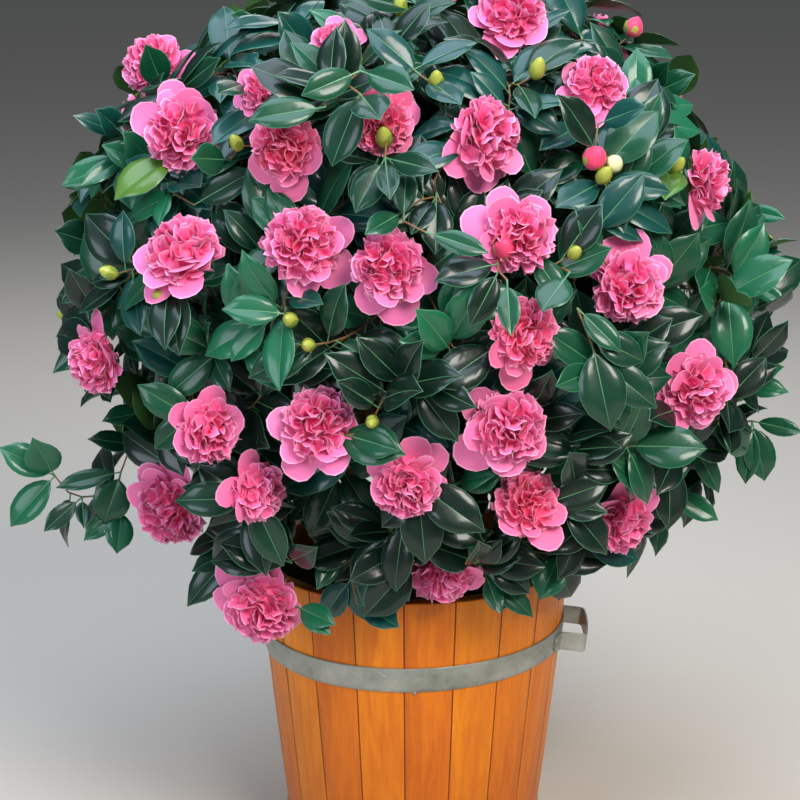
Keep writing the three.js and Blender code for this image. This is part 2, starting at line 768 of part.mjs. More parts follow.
// Leaves stand round the end of each shoot, spread over the crown's surface with their faces out.
function growLeaves(mass, twigs, reached, fits, random) {
  const wood = twigs.flatMap(({ points }) => points.slice(1).map((point, i) => [points[i], point]));
  const taken = [];
  const hasRoom = (outline) =>
    outline.points.every(fits) &&
    outline.points.every((p) => mass.blooms.every((b) => b.centre.distanceTo(p) > b.radius)) &&
    !cutsThrough(wood, outline.triangles) &&
    !taken.some((other) => leavesCross(outline, other));
  const leaves = [];
  for (const { points, bloom, leafSize = 1 } of reached) {
    const tip = points[points.length - 1];
    const behind = points[points.length - 2];
    const along = tip.clone().sub(behind).normalize();
    const longest = tip.distanceTo(behind) * LEAF.bearingShare;
    const outward = leafwards(tip);
    const first = random() * 2 * Math.PI;
    const nearest = bloom ? LEAF.bloomSetBack : LEAF.setBack;
    for (let index = 0; index < (bloom ? LEAF.perBloom : LEAF.perShoot); index++) {
      const setBack = Math.min(nearest + index * LEAF.spacing, longest);
      const base = tip.clone().addScaledVector(along, -setBack);
      const poses = leafPoses(base, outward, first + index * GOLDEN_ANGLE, leafSize, random);
      const leaf = poses.find((pose) => hasRoom(outlineOf(pose)));
      if (!leaf) continue;
      leaves.push(leaf);
      taken.push(outlineOf(leaf));
    }
  }
  return leaves;
}

// The poses that a leaf may take at its place on the twig, the first choice first.
function leafPoses(base, outward, angle, leafSize, random) {
  const side = outward.clone().cross(UP).normalize();
  const rise = side.clone().cross(outward).normalize();
  const size = LEAF_POSE.leastSize + LEAF_POSE.sizeRange * random();
  const spread = LEAF_POSE.leastSpread + LEAF_POSE.spreadRange * random();
  return Array.from({ length: LEAF_POSE.tries }, (_, attempt) => {
    const turn = angle + (attempt * Math.PI * 2) / LEAF_POSE.tries;
    const heading = side.clone().multiplyScalar(Math.cos(turn));
    heading.addScaledVector(rise, Math.sin(turn));
    heading.addScaledVector(outward, spread + LEAF_POSE.spreadStep * (attempt % 3));
    heading.addScaledVector(UP, -LEAF_POSE.sag).normalize();
    const face = outward.clone().addScaledVector(UP, LEAF_POSE.lift);
    face.addScaledVector(heading, -face.dot(heading)).normalize();
    const shorter = attempt < LEAF_POSE.tries / 2 ? 1 : LEAF_POSE.shorter;
    return { base, heading, face, length: LEAF.length * leafSize * size * shorter };
  });
}

// Masses share out the blooms and the shoots by the direction that each lies in.
function planMasses() {
  const directions = spiral(MASSES);
  const masses = directions.map((direction, index) => {
    const points = boughPoints(direction, index);
    const foot = points[points.length - 1];
    const heading = foot.clone().sub(points[points.length - 2]).normalize();
    return { direction, points, foot, heading, blooms: [], targets: [] };
  });
  const nearest = (point) => {
    const direction = crownDirection(point);
    return masses.reduce((best, next) =>
      next.direction.dot(direction) > best.direction.dot(direction) ? next : best,
    );
  };
  const seen = seenBlooms();
  const blooms = [...seen, ...hiddenBlooms(seen)];
  for (const bloom of blooms) {
    const owner = nearest(bloom.centre);
    owner.blooms.push(bloom);
    const back = bloom.radius * BLOOM.stalkEnd;
    const point = bloom.centre.clone().addScaledVector(bloom.facing, -back);
    owner.targets.push({ point, bloom });
  }
  spiral(SHOOTS).forEach((direction, index) => {
    const depth = SHOOTS.depths[index % SHOOTS.depths.length];
    const point = crownPoint(direction, depth * outlineShare(direction));
    const tooNear = (b) => b.centre.distanceTo(point) < b.radius + SHOOTS.bloomRoom;
    const crowded = blooms.some(tooNear);
    if (clearOfTub(point) && !crowded) nearest(point).targets.push({ point });
  });
  for (const { across, up, forward } of LONG_SHOOTS) {
    const point = new THREE.Vector3(across, -forward, up);
    nearest(point).targets.push({ point, leafSize: LONG_SHOOT_LEAF });
  }
  return masses;
}

function buildPlant() {
  const plant = new THREE.Group();
  const stemLine = STEM_LEVELS.map(stemPoint);
  plant.add(part("stem", limb(stemLine, STEM.radii, STEM.sides), BARK));
  const masses = planMasses();
  const limbs = masses.map(({ points }) => ({ points, room: BOUGH.start + LIMB_ROOM }));
  limbs.push({ points: stemLine, room: STEM.radii[0] + LIMB_ROOM });
  masses.forEach((mass, index) => {
    const number = String(index + 1).padStart(2, "0");
    plant.add(part("bough_" + number, limb(mass.points, boughRadii(), BOUGH.sides), BARK));
    plant.add(part("foliage_" + number, foliageGeometry(mass, masses, limbs, index), FOLIAGE));
  });
  return plant;
}

function foliageGeometry(mass, masses, limbs, index) {
  const others = limbs.filter(({ points }) => points !== mass.points);
  const fits = spaceOf(mass, masses, others);
  const { twigs, reached } = growTwigs(mass, fits);
  const leaves = growLeaves(mass, twigs, reached, fits, randomStream(index + LEAF.seed));
  return joined([
    ...twigs.map(({ points, radii }) => limb(points, radii, TWIG.sides)),
    ...mass.blooms.map(bloomGeometry),
    ...leaves.map(leafGeometry),
  ]);
}

const camellia = new THREE.Group();
camellia.add(buildTub());
camellia.add(buildPlant());
export default camellia;
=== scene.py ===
"""A camellia shrub in full bloom in a staved wooden tub. Metres, +Z up, the front faces -Y."""
import math
from types import SimpleNamespace

import bpy
import numpy as np
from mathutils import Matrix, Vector, noise
from mathutils.bvhtree import BVHTree


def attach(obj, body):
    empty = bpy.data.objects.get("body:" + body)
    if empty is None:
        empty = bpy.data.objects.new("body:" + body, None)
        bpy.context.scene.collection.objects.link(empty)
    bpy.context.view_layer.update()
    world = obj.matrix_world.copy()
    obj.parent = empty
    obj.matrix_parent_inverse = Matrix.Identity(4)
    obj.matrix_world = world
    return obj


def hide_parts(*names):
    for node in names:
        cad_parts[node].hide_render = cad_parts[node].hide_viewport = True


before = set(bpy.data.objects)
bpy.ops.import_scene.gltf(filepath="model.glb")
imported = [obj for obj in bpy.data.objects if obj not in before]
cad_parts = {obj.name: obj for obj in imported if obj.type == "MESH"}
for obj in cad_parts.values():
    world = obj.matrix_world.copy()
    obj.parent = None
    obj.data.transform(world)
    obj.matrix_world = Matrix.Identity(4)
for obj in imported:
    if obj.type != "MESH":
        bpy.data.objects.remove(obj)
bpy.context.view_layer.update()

MM = 0.001
UP = Vector((0, 0, 1))
GOLDEN_ANGLE = math.pi * (3 - math.sqrt(5))
TUBE_END = 0.15

# Tub, as the solids have it
TUB = SimpleNamespace(
    height=0.380, foot_radius=0.149, rim_radius=0.190, belly=0.0018, turn=math.radians(5.5),
    staves=20, stave_thickness=0.016, soil_edge=0.346, soil_top=0.356,
)
HOOP = SimpleNamespace(
    thickness=0.0016, width=0.030, upper_height=0.284, upper_slope=0.0227, lower_height=0.038,
    ease=0.0008, swell=0.0003, steps=160,
)
HANDLE = SimpleNamespace(
    azimuth=math.radians(-3), strap_height=0.0225, thickness=0.0025, half_span=0.046, foot=0.020,
    stand_off=0.026, bow=0.003, bend_radius=0.005, above_hoop_middle=-0.001, ease=0.0005,
    blunt=0.0012, least=0.002, rivet_place=0.55, rivet_reach=0.004,
)
CLEAR = 0.0003
SEAT = CLEAR * 1.2

# The tub's finer shape: eased edges, rivets, the nail under the upper hoop and the crumbs of the soil
STAVE = SimpleNamespace(
    columns=9, levels=20, rounding=0.002, ease=0.0008, ease_depth=1.6, inner_angle=0.001,
    uneven=0.0004, waves_up=9, waves_apart=3.1,
)
RIVET = SimpleNamespace(
    radius=0.0038, height=0.0016, sides=14, shares=(0.0, 0.3, 0.6, 0.85, 1.0), tip=0.00005, sunk=0.0002,
)
NAIL = SimpleNamespace(
    across=0.001, below=0.0012, radius=0.0022, height=0.0014, outs=(-0.002, 0.0015, 0.0026),
    radii=(0.0012, 0.0012, 0.001),
)
SOIL = SimpleNamespace(
    foot=0.02, foot_inset=0.0165, foot_height=0.0185, gap=0.0004, sides=96, rings=46, grain=90,
    crumb=0.0022, still_edge=12,
)

# Stem, boughs and crown, as the solids have them
STEM = SimpleNamespace(height=0.168, lean=(0.009, 0.005), radii=(24, 15.5, 14, 13, 11.5, 9))
STEM_LEVELS = (0, 0.09, 0.3, 0.55, 0.8, 1)
BOUGH = SimpleNamespace(
    start=0.0072, end=0.0048, lowest=0.22, highest=0.9, collar=0.006, pull=0.3, rise=0.4,
    inside_reach=0.5, steps=44,
)
CROWN = SimpleNamespace(
    centre=Vector((0.005, 0, 0.735)), reach=Vector((0.435, 0.392, 0.350)),
    upper_power=2, lower_power=2.7,
)
MASSES = SimpleNamespace(count=16, lowest=-0.6, highest=0.97, turn=0.4)
MASS_STEM = 0.046
FORWARD = 0.35

# Finer growth than the solids carry
SHOOTS = SimpleNamespace(
    count=350, lowest=-0.93, highest=0.995, turn=1.1, depths=(0.9, 0.8, 0.93, 0.72, 0.86, 0.95, 0.77),
)
INNER_SHOOTS = SimpleNamespace(
    count=130, lowest=-0.85, highest=0.95, turn=0.3, depths=(0.58, 0.42, 0.64),
)
SHOOT_ROOM = 0.012
TWIG = SimpleNamespace(
    tip_radius=0.0011, step=0.018, tapering=0.86, bud_spacing=0.016, root_share=0.8, straight=0.4,
    stem_taper=0.075, sides=7,
)
TWIG_TONES = (-0.0024, -0.0014)
BARK_SIDES = SimpleNamespace(stem=40, bough=16)
BARK_RELIEF = SimpleNamespace(
    stem=0.07, bough=0.1, flare=0.1, collar=0.35, foot=0.12, lobes=5, ridges_round=2.2, ridges_up=26,
    bough_step=0.008,
)

# How far the crown reaches in the front view, by degrees round it from the right, as a share of its reach
OUTLINE = (
    (0, 0.9), (22, 0.84), (41, 0.9), (60, 0.98), (90, 1), (115, 0.95), (140, 0.98), (165, 0.93),
    (185, 0.89), (200, 0.87), (215, 0.9), (270, 1), (325, 1), (342, 0.98), (360, 0.9),
)
UNEVEN = 0.07

# Open blooms on the front half, as the solids have them: across, height and width in mm, the degrees that
# each faces to the right and up, and how far forward a low one hangs
SEEN_BLOOMS = (
    (-297, 963, 82, -25, 25), (-248, 918, 94, -15, 10), (-160, 962, 62, -20, 30),
    (-133, 905, 80, -10, 5), (-243, 800, 96, -25, 50), (-108, 817, 92, 15, 20),
    (-25, 796, 86, 10, 15), (-31, 938, 78, 20, 5), (-84, 1009, 60, -20, 50),
    (101, 1029, 88, 10, 35), (74, 916, 92, 40, 0), (99, 830, 86, 10, 10),
    (187, 961, 76, 15, 30), (309, 857, 80, 70, 5), (220, 775, 88, 10, 5),
    (109, 725, 84, 25, 5), (300, 646, 88, 25, 5), (89, 628, 92, 0, 5),
    (-102, 630, 92, -5, 20), (-217, 619, 82, 25, 5), (-166, 548, 76, 45, -5),
    (-277, 486, 98, -20, -5), (-6, 573, 82, 15, -5), (120, 537, 84, 10, 30),
    (228, 490, 88, 25, -25), (38, 428, 90, 10, -38, 228), (-172, 391, 98, -10, -12, 222),
    (-352, 664, 82, -50, 0),
)
# Where each of these shows its broad petals, in degrees round it from the right. None is all round.
OPEN_SIDES = (
    330, 110, 180, 270, 260, 320, 280, 45, 90, 250, 280, 150, 240, 260, 60, 260, None, 215, 250, 120,
    150, 90, 75, 290, 70, 0, 120, 120,
)
HIDDEN_BLOOMS = SimpleNamespace(
    count=40, lowest=-0.62, highest=0.96, turn=0.7, width=0.088, front_limit=-0.27, seed=5,
    least_size=0.86, size_range=0.22, rise=0.15,
)
WARM_BLOOMS = (3, 7, 15, 23, 30, 35, 40)
BLOOM_SPACING = 0.098
BLOOM_SHARE = 0.95
BLOOM_SPREAD = 1.18
BLOOM_SEED = 300
BLOOMS_A_PIECE = 25

# Buds: across, height, width in mm and the colour of what shows between the scales
BUDS = (
    (182, 899, 25, "pink"), (202, 892, 19, "cream"), (191, 882, 16, "green"), (88, 819, 22, "pink"),
    (-63, 995, 17, "green"), (-32, 923, 17, "green"), (126, 983, 17, "green"), (-183, 912, 14, "green"),
    (-324, 769, 15, "green"), (-263, 756, 14, "green"), (-126, 746, 15, "green"), (-44, 643, 14, "green"),
    (272, 884, 15, "green"), (159, 811, 14, "green"), (21, 974, 16, "green"), (-16, 1042, 16, "green"),
    (-108, 721, 14, "green"),
)
HIDDEN_BUDS = SimpleNamespace(
    count=22, lowest=-0.4, highest=0.9, turn=2.2, front_limit=0.1, room=0.02, every_pink=5,
)
HIDDEN_BUD_RADII = {"green": 0.008, "pink": 0.011}
BUD_SHARE = SimpleNamespace(seen=0.97, hidden=0.96)
BUD_RISE = 0.3
BUD_SHAPES = {
    "green": SimpleNamespace(slot=0, length=3.3, cover=0.95),
    "cream": SimpleNamespace(slot=1, length=2.3, cover=0.55),
    "pink": SimpleNamespace(slot=2, length=2.3, cover=0.55),
}
BUD_SCALES = 7
SCALE_ROWS = (0.05, 0.3, 0.6, 0.9, 1.0)
SCALE_SLOTS = (0, 3)

# Sprays that show leaf by leaf, as places across and down the photo in pixels: the shoot's end, how far it
# comes forward in mm, and the tip of each leaf with its width as a share of its length
SPRAYS = (
    ((55, 476), 70, ((0, 447, 0.6), (9, 526, 0.55), (33, 440, 0.72))),
    ((82, 497), 66, ((44, 531, 0.5), (84, 527, 0.45))),
    ((121, 472), 64, ((104, 524, 0.8), (56, 487, 0.36))),
    ((140, 446), 60, ((89, 438, 0.5),)),
    ((122, 508), 60, ((117, 553, 0.7), (84, 540, 0.5))),
    ((150, 411), 70, ((103, 420, 0.55), (118, 384, 0.5))),
    ((163, 171), 120, ((124, 133, 0.75), (102, 145, 0.5), (178, 214, 0.6))),
    ((126, 157), 100, ((61, 185, 0.5), (81, 185, 0.4), (131, 209, 0.62))),
    ((125, 136), 50, ((98, 110, 0.6), (74, 115, 0.4))),
    ((101, 246), 50, ((55, 231, 0.75),)),
    ((118, 262), 90, ((61, 303, 0.5), (96, 256, 0.5))),
    ((112, 284), 100, ((89, 322, 0.5), (112, 340, 0.6))),
    ((108, 330), 60, ((78, 363, 0.55), (56, 336, 0.5), (52, 372, 0.42))),
    ((647, 97), 20, ((694, 74, 0.55), (668, 62, 0.5))),
    ((644, 116), 50, ((684, 161, 0.5), (690, 134, 0.4))),
    ((672, 173), 70, ((693, 212, 0.48),)),
    ((738, 209), 20, ((785, 218, 0.42), (755, 228, 0.6))),
    ((722, 256), 60, ((757, 277, 0.4), (759, 304, 0.42))),
    ((742, 276), 30, ((785, 303, 0.45),)),
    ((702, 274), 110, ((706, 318, 0.6), (730, 292, 0.5))),
    ((722, 362), 90, ((750, 328, 0.6), (700, 330, 0.6))),
    ((735, 383), 60, ((783, 366, 0.5), (788, 391, 0.5))),
    ((752, 421), 40, ((803, 432, 0.42), (765, 481, 0.6), (745, 484, 0.45))),
    ((692, 441), 120, ((720, 493, 0.42), (668, 486, 0.5))),
    ((672, 492), 80, ((718, 520, 0.52),)),
    ((268, 28), 60, ((202, 51, 0.48), (232, 14, 0.4))),
    ((314, 58), 110, ((279, 12, 0.66), (278, 92, 0.3))),
    ((296, 606), 226, ((334, 624, 0.55), (330, 634, 0.5))),
    ((357, 603), 230, ((399, 627, 0.62),)),
    ((399, 547), 206, ((364, 586, 0.6),)),
    ((342, 547), 200, ((317, 589, 0.5),)),
    ((240, 545), 150, ((186, 606, 0.45), (192, 571, 0.5))),
    ((484, 571), 226, ((472, 526, 0.8), (500, 613, 0.5), (534, 617, 0.42))),
    ((561, 552), 190, ((540, 599, 0.75),)),
    ((164, 90), 50, ((146, 45, 0.6),)),
    ((181, 90), 120, ((219, 58, 0.45),)),
    ((246, 84), 215, ((218, 92, 0.6),)),
    ((325, 107), 345, ((248, 119, 0.5),)),
    ((360, 71), 325, ((302, 95, 0.55), (413, 88, 0.62))),
    ((360, 94), 345, ((331, 166, 0.58), (380, 118, 0.8))),
    ((385, 158), 345, ((355, 212, 0.6), (390, 198, 0.5), (437, 170, 0.5))),
    ((403, 212), 350, ((366, 233, 0.5),)),
    ((425, 232), 380, ((488, 252, 0.42),)),
    ((507, 280), 405, ((511, 335, 0.45),)),
    ((570, 272), 365, ((542, 309, 0.75),)),
    ((600, 368), 345, ((546, 331, 0.55), (556, 386, 0.55), (619, 419, 0.6))),
    ((577, 308), 350, ((621, 351, 0.5),)),
    ((604, 181), 280, ((556, 206, 0.6), (624, 233, 0.55), (671, 191, 0.5))),
    ((598, 124), 275, ((645, 106, 0.62),)),
    ((194, 205), 240, ((254, 170, 0.5),)),
    ((230, 160), 262, ((193, 158, 0.7),)),
)
RIM_SHOOTS = ((-134, 446, 240), (70, 452, 250), (0, 452, 250), (186, 452, 190), (-205, 452, 170))

# Leaves: their shape, the places of leaves back from a shoot's tip, and their materials by number
LEAF = SimpleNamespace(length=0.068, width_share=0.58, stalk=0.008, tries=14, lowest_face=-0.2, seed=21)
BLADE = SimpleNamespace(
    stalk_radius=0.0011, least=0.0008, margin=0.0006, rib=0.0006, rib_taper=1.2, edge_share=0.3,
    sweep=0.12, waves=1.7, other_side=2.1, wave_from=0.01, keel=0.0007, keel_foot=0.0005,
    droop_power=2.2, tip_from=0.8, tip_power=1.4, top_columns=8,
)
LEAF_ROWS = (0.0, 0.07, 0.18, 0.32, 0.47, 0.62, 0.76, 0.88, 0.96, 1.0)
INNER_ROWS = (0.0, 0.2, 0.5, 0.8, 1.0)
SHOOT_GAPS = (0.001, 0.004, 0.009, 0.017, 0.028, 0.041, 0.056, 0.073)
LEAF_GAPS = {
    "bloom": (0.016, 0.024, 0.036), "bud": (0.014, 0.022, 0.032), "spray": SHOOT_GAPS[4:],
    "leaves": SHOOT_GAPS, "inner": SHOOT_GAPS,
}
GAPS_SHARE = 0.85
# The second slot is a pale strip along each leaf's edge that paints an edge highlight.
RIB_SLOT, EDGE_HIGHLIGHT_SLOT, UNDER_SLOT, FIRST_TONE = range(4)
LEAVES_A_PIECE = 850
TONE_LIMITS = (0.24, 0.48, 0.7, 0.86, 0.975)
SPRAY_TONES = (0, 1, 2, 4)
# Painted shade: sprays low in the crown take the shade green more often, and inner shoots always take the
# darkest green.
SHADE = SimpleNamespace(lowest=0.44, highest=0.8, most=0.85)
SHADE_TONE, INNER_SHADE_TONE = 3, 6

# How a leaf stands: how it turns from its shoot and to the light, and what it keeps clear of
LIGHT_SIDE = Vector((-0.1, -0.5, 0.85))
STANCE = SimpleNamespace(
    spread=0.1, spread_range=0.6, lift=0.12, sag=0.3, lean=0.7, outward=0.7, light=0.8, near=0.1,
    shorter=0.8, lowest=0.3,
)
SPRAY_STANCE = SimpleNamespace(
    droop=0.1, twist=0.5, stretch=1.02, least=0.07, viewer=0.8, to_viewer=1.4, lean=0.9,
)
FRONT_HALF = -0.05
BLOOM_ROOMS = ((-0.25, 0.9), (0.3, 0.95), (0.8, 0.9), (1.4, 0.8), (2.0, 0.7))
BLOOM_LOOK = 0.7
BUD_ROOMS = ((0.5, 1.3), (2.0, 1.3), (3.5, 1.3))

# Petals: the materials of one bloom by number, the rows along a petal, and their rings
# The third material, deeper pink at each petal's base and in the bloom's middle, is painted shade in the
# hollows. The fourth, pale pink at the tips, is a painted highlight on the rims.
GUARD, MIDDLE, HEART, RIM_HIGHLIGHT, CALYX = range(5)
BLOOM_MATERIALS = 5
BLOOM_DEPTH = 0.26
GUARD_ROWS = (0.1, 0.34, 0.56, 0.74, 0.88, 0.97, 1.0)
CURL_ROWS = (0.5, 0.7, 0.86, 0.96, 1.0)
GUARD_RINGS = (
    SimpleNamespace(count=6, reach=1.06, pitch=4, pitch_change=30, spread=38),
    SimpleNamespace(count=5, reach=0.9, pitch=26, pitch_change=22, spread=34),
)
GUARD_SHAPE = SimpleNamespace(columns=9, notch=0.012, folded_reach=0.74, folded_pitch=24)
CURLS = SimpleNamespace(
    count=120, columns=5, widest=84, reach=0.8, outer_reach=0.76, heart=0.5, shift=0.12, rounding=0.3,
    bend_from=0.7, notch=0.05,
)
HEART_CRUMPLE = 0.08
CALYX_SHAPE = SimpleNamespace(
    count=6, spread=0.6, rows=(0.1, 0.5, 0.85, 1.0), bend=-0.5, reach=0.36, pitch=-28, pitch_range=6,
    depth=0.31,
)

# Colours
WOOD_TONES = (
    ("EA860A", "D66E08"), ("E48008", "D06808"), ("EE8C0A", "DA7408"), ("E07808", "C86208"),
    ("E8820A", "D26C08"),
)
TONE_ORDER = (0, 3, 2, 1, 4, 2, 3)
WOOD_OFFSET = (1.7, 0.9, 2.3)
# leaf_shade is painted shade for sprays low in the crown, and it also comes up now and then at random.
LEAF_GREENS = (
    ("leaf_deep", "073624"), ("leaf_green", "0B482E"), ("leaf_blue", "08423C"), ("leaf_shade", "042116"),
    ("leaf_bright", "156040"), ("leaf_young", "4C7226"),
)
# Each set runs guard, middle, heart, edge. The heart pink is painted shade in the hollows, and the pale
# edge pink is a painted highlight on the rims.
PETAL_PINKS = {
    "petal": ("F278B2", "F870AC", "FC64A0", "F8A6CC"),
    "warm_petal": ("F270A4", "F86698", "F85488", "F89EC2"),
}
PETAL_PARTS = ("guard", "middle", "heart", "edge")

# The photo's camera: its place, its fall in degrees, its lens in pixels and in mm
VIEWPOINT = Vector((-0.0159, -2.3635, 1.1919))
VIEW_FALL = 14.8
VIEW_PIXELS = 2050
PHOTO_MIDDLE = 400
LENS = SimpleNamespace(focal=92.25, sensor=36, farthest=100)

# Stage: each lamp's place, size, power and colour
FLOOR_REACH = 40
WORLD_COLOR, WORLD_STRENGTH = "DCE6F2", 0.16
LAMP_AIM = Vector((0, 0, 0.6))
LAMPS = {
    "key": ((1.3, -2.6, 2.9), 1.5, 138, "FFF8F0"),
    "fill": ((-2.1, -2.6, 1.7), 1.6, 44, "E6EEFF"),
    "sky": ((-0.3, -0.5, 3.4), 2.6, 110, "D8E8FF"),
    "back": ((0.2, 2.6, 2.6), 1.8, 28, "FFFFFF"),
}


def srgb(code):
    """A colour written as in a picture, such as D9782A, as linear red, green, blue and alpha."""
    parts = [int(code[at : at + 2], 16) / 255 for at in (0, 2, 4)]
    linear = [part / 12.92 if part <= 0.04045 else ((part + 0.055) / 1.055) ** 2.4 for part in parts]
    return (*linear, 1)


def mix(low, high, share):
    return low + (high - low) * share


def round_turn(count, first=0.0):
    """Angles at even steps round a full turn."""
    return first + np.arange(count) * (2 * math.pi / count)


def random_stream(seed):
    """The solids' own stream of numbers from 0 to 1."""
    state = (seed * 7919 + 12345) % 4294967296

    def draw():
        nonlocal state
        state = (state * 1664525 + 1013904223) % 4294967296
        return state / 4294967296

    return draw


def lengths_along(points):
    """How far along a line each of its points lies."""
    lengths = [0.0]
    for before, after in zip(points, points[1:]):
        lengths.append(lengths[-1] + (after - before).length)
    return lengths


def heading_at(points, index):
    """The way that a line runs at one of its points."""
    return (points[min(index + 1, len(points) - 1)] - points[max(index - 1, 0)]).normalized()


def rotated(first, second, angle):
    """Two coordinates of one point or of many, turned by an angle."""
    cos, sin = math.cos(angle), math.sin(angle)
    return first * cos - second * sin, first * sin + second * cos


# Meshes


class Shell:
    """Grids of quads gathered into one mesh, each quad with the number of its material."""

    def __init__(self):
        self.points = []
        self.quads = []
        self.slots = []
        self.total = 0

    def grid(self, points, slot=0, wrap=False):
        """Adds the quads between rows of points. slot is one number, or one for each column or quad."""
        points = np.asarray(points, float)
        rows, columns = points.shape[:2]
        index = np.arange(rows * columns).reshape(rows, columns) + self.total
        here = index if wrap else index[:, :-1]
        there = np.roll(index, -1, axis=1) if wrap else index[:, 1:]
        quads = np.stack([here[:-1], there[:-1], there[1:], here[1:]], axis=-1)
        self.points.append(points.reshape(-1, 3))
        self.quads.append(quads.reshape(-1, 4))
        self.slots.append(np.broadcast_to(slot, quads.shape[:2]).reshape(-1))
        self.total += rows * columns

    def tube(self, rings, slot=0):
        """Adds a closed tube: its rings, with a small flat end on the first and the last."""
        rings = np.asarray(rings, float)
        ends = [mix(rings[at].mean(axis=0), rings[at], TUBE_END) for at in (0, -1)]
        slots = np.broadcast_to(slot, (len(rings) - 1, rings.shape[1]))
        slots = np.concatenate([slots[:1], slots, slots[-1:]])
        self.grid(np.concatenate([ends[:1], rings, ends[1:]]), slots, wrap=True)

    def build(self, name, materials, sharp=None):
        """The mesh as an object of the scene, smooth but for edges over the angle sharp."""
        mesh = bpy.data.meshes.new(name)
        points = np.concatenate(self.points).astype(np.float32)
        quads = np.concatenate(self.quads).astype(np.int32)
        mesh.vertices.add(len(points))
        mesh.vertices.foreach_set("co", points.ravel())
        mesh.loops.add(quads.size)
        mesh.loops.foreach_set("vertex_index", quads.ravel())
        mesh.polygons.add(len(quads))
        mesh.polygons.foreach_set("loop_start", np.arange(0, quads.size, 4, dtype=np.int32))
        mesh.polygons.foreach_set("material_index", np.concatenate(self.slots).astype(np.int32))
        mesh.update(calc_edges=True)
        mesh.shade_smooth()
        if sharp:
            mesh.set_sharp_from_angle(angle=math.radians(sharp))
        for material in materials:
            mesh.materials.append(material)
        piece = bpy.data.objects.new(name, mesh)
        bpy.context.scene.collection.objects.link(piece)
        return piece


def dress(piece, slot, *nodes):
    """A finished piece takes its place on the body and hides the nodes that it stands for. slot is not
    used.
    """
    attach(piece, "root")
    if nodes:
        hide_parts(*nodes)
    return piece


def rings_along(points, radii, sides):
    """Rings of points round a line, carried along it without twisting."""
    points = [Vector(point) for point in points]
    side = Vector((1, 0, 0))
    angles = round_turn(sides)
    rings = []
    for index, point in enumerate(points):
        along = heading_at(points, index)
        if abs(side.dot(along)) > 0.9:
            side = Vector((0, 1, 0))
        side = (side - along * side.dot(along)).normalized()
        other = along.cross(side)
        radius = np.broadcast_to(radii[index], sides)
        ring = np.outer(np.cos(angles) * radius, side) + np.outer(np.sin(angles) * radius, other)
        rings.append(ring + np.array(point))
    return np.array(rings)


# Materials


def material(name, color, roughness, **sockets):
    """A shader with one plain base colour. sockets holds its other plain values."""
    made = bpy.data.materials.new(name)
    made.use_nodes = True
    shader = made.node_tree.nodes["Principled BSDF"]
    shader.inputs["Base Color"].default_value = srgb(color)
    shader.inputs["Roughness"].default_value = roughness
    for socket, value in sockets.items():
        shader.inputs[socket.replace("_", " ")].default_value = value
    made.diffuse_color = srgb(color)
    return made


def add_node(made, kind, inputs=(), **settings):
    """A shader node. Each of its inputs is a plain value or another node's output."""
    node = made.node_tree.nodes.new(kind)
    for setting, value in settings.items():
        setattr(node, setting, value)
    for socket, value in dict(inputs).items():
        if isinstance(value, bpy.types.NodeSocket):
            made.node_tree.links.new(value, node.inputs[socket])
        else:
            node.inputs[socket].default_value = value
    return node


def scaled_place(made, scale=(1, 1, 1), location=(0, 0, 0)):
    """The place on the piece, by which a pattern lies, stretched by scale."""
    place = add_node(made, "ShaderNodeTexCoord").outputs["Object"]
    inputs = {"Vector": place, "Scale": scale, "Location": location}
    return add_node(made, "ShaderNodeMapping", inputs).outputs["Vector"]


def noise_of(made, place, scale, detail=3.0, roughness=0.55, distortion=0.0):
    """A soft random pattern from 0 to 1."""
    inputs = {"Vector": place, "Scale": scale, "Detail": detail, "Roughness": roughness}
    inputs["Distortion"] = distortion
    return add_node(made, "ShaderNodeTexNoise", inputs).outputs["Fac"]


def ramp_of(made, factor, *stops):
    """A colour ramp. Each stop is a place and a colour code."""
    ramp = add_node(made, "ShaderNodeValToRGB", {"Fac": factor})
    elements = ramp.color_ramp.elements
    while len(elements) < len(stops):
        elements.new(0.5)
    for element, (place, color) in zip(elements, stops):
        element.position = place
        element.color = srgb(color)
    return ramp.outputs["Color"]


def mixed(made, factor, low, high):
    """One colour laid over another by a factor. The sockets of this node go by number."""
    inputs = {0: factor, 6: low, 7: srgb(high)}
    return add_node(made, "ShaderNodeMix", inputs, data_type="RGBA").outputs[2]


def range_of(made, value, low, high, to_low, to_high):
    """A value from low to high, made into one from to_low to to_high."""
    inputs = {"Value": value, "From Min": low, "From Max": high, "To Min": to_low, "To Max": to_high}
    return add_node(made, "ShaderNodeMapRange", inputs).outputs["Result"]


def bump(made, height, strength, distance):
    inputs = {"Height": height, "Strength": strength, "Distance": distance}
    node = add_node(made, "ShaderNodeBump", inputs)
    shader = made.node_tree.nodes["Principled BSDF"]
    made.node_tree.links.new(node.outputs["Normal"], shader.inputs["Normal"])


def color_from(made, color):
    made.node_tree.links.new(color, made.node_tree.nodes["Principled BSDF"].inputs["Base Color"])


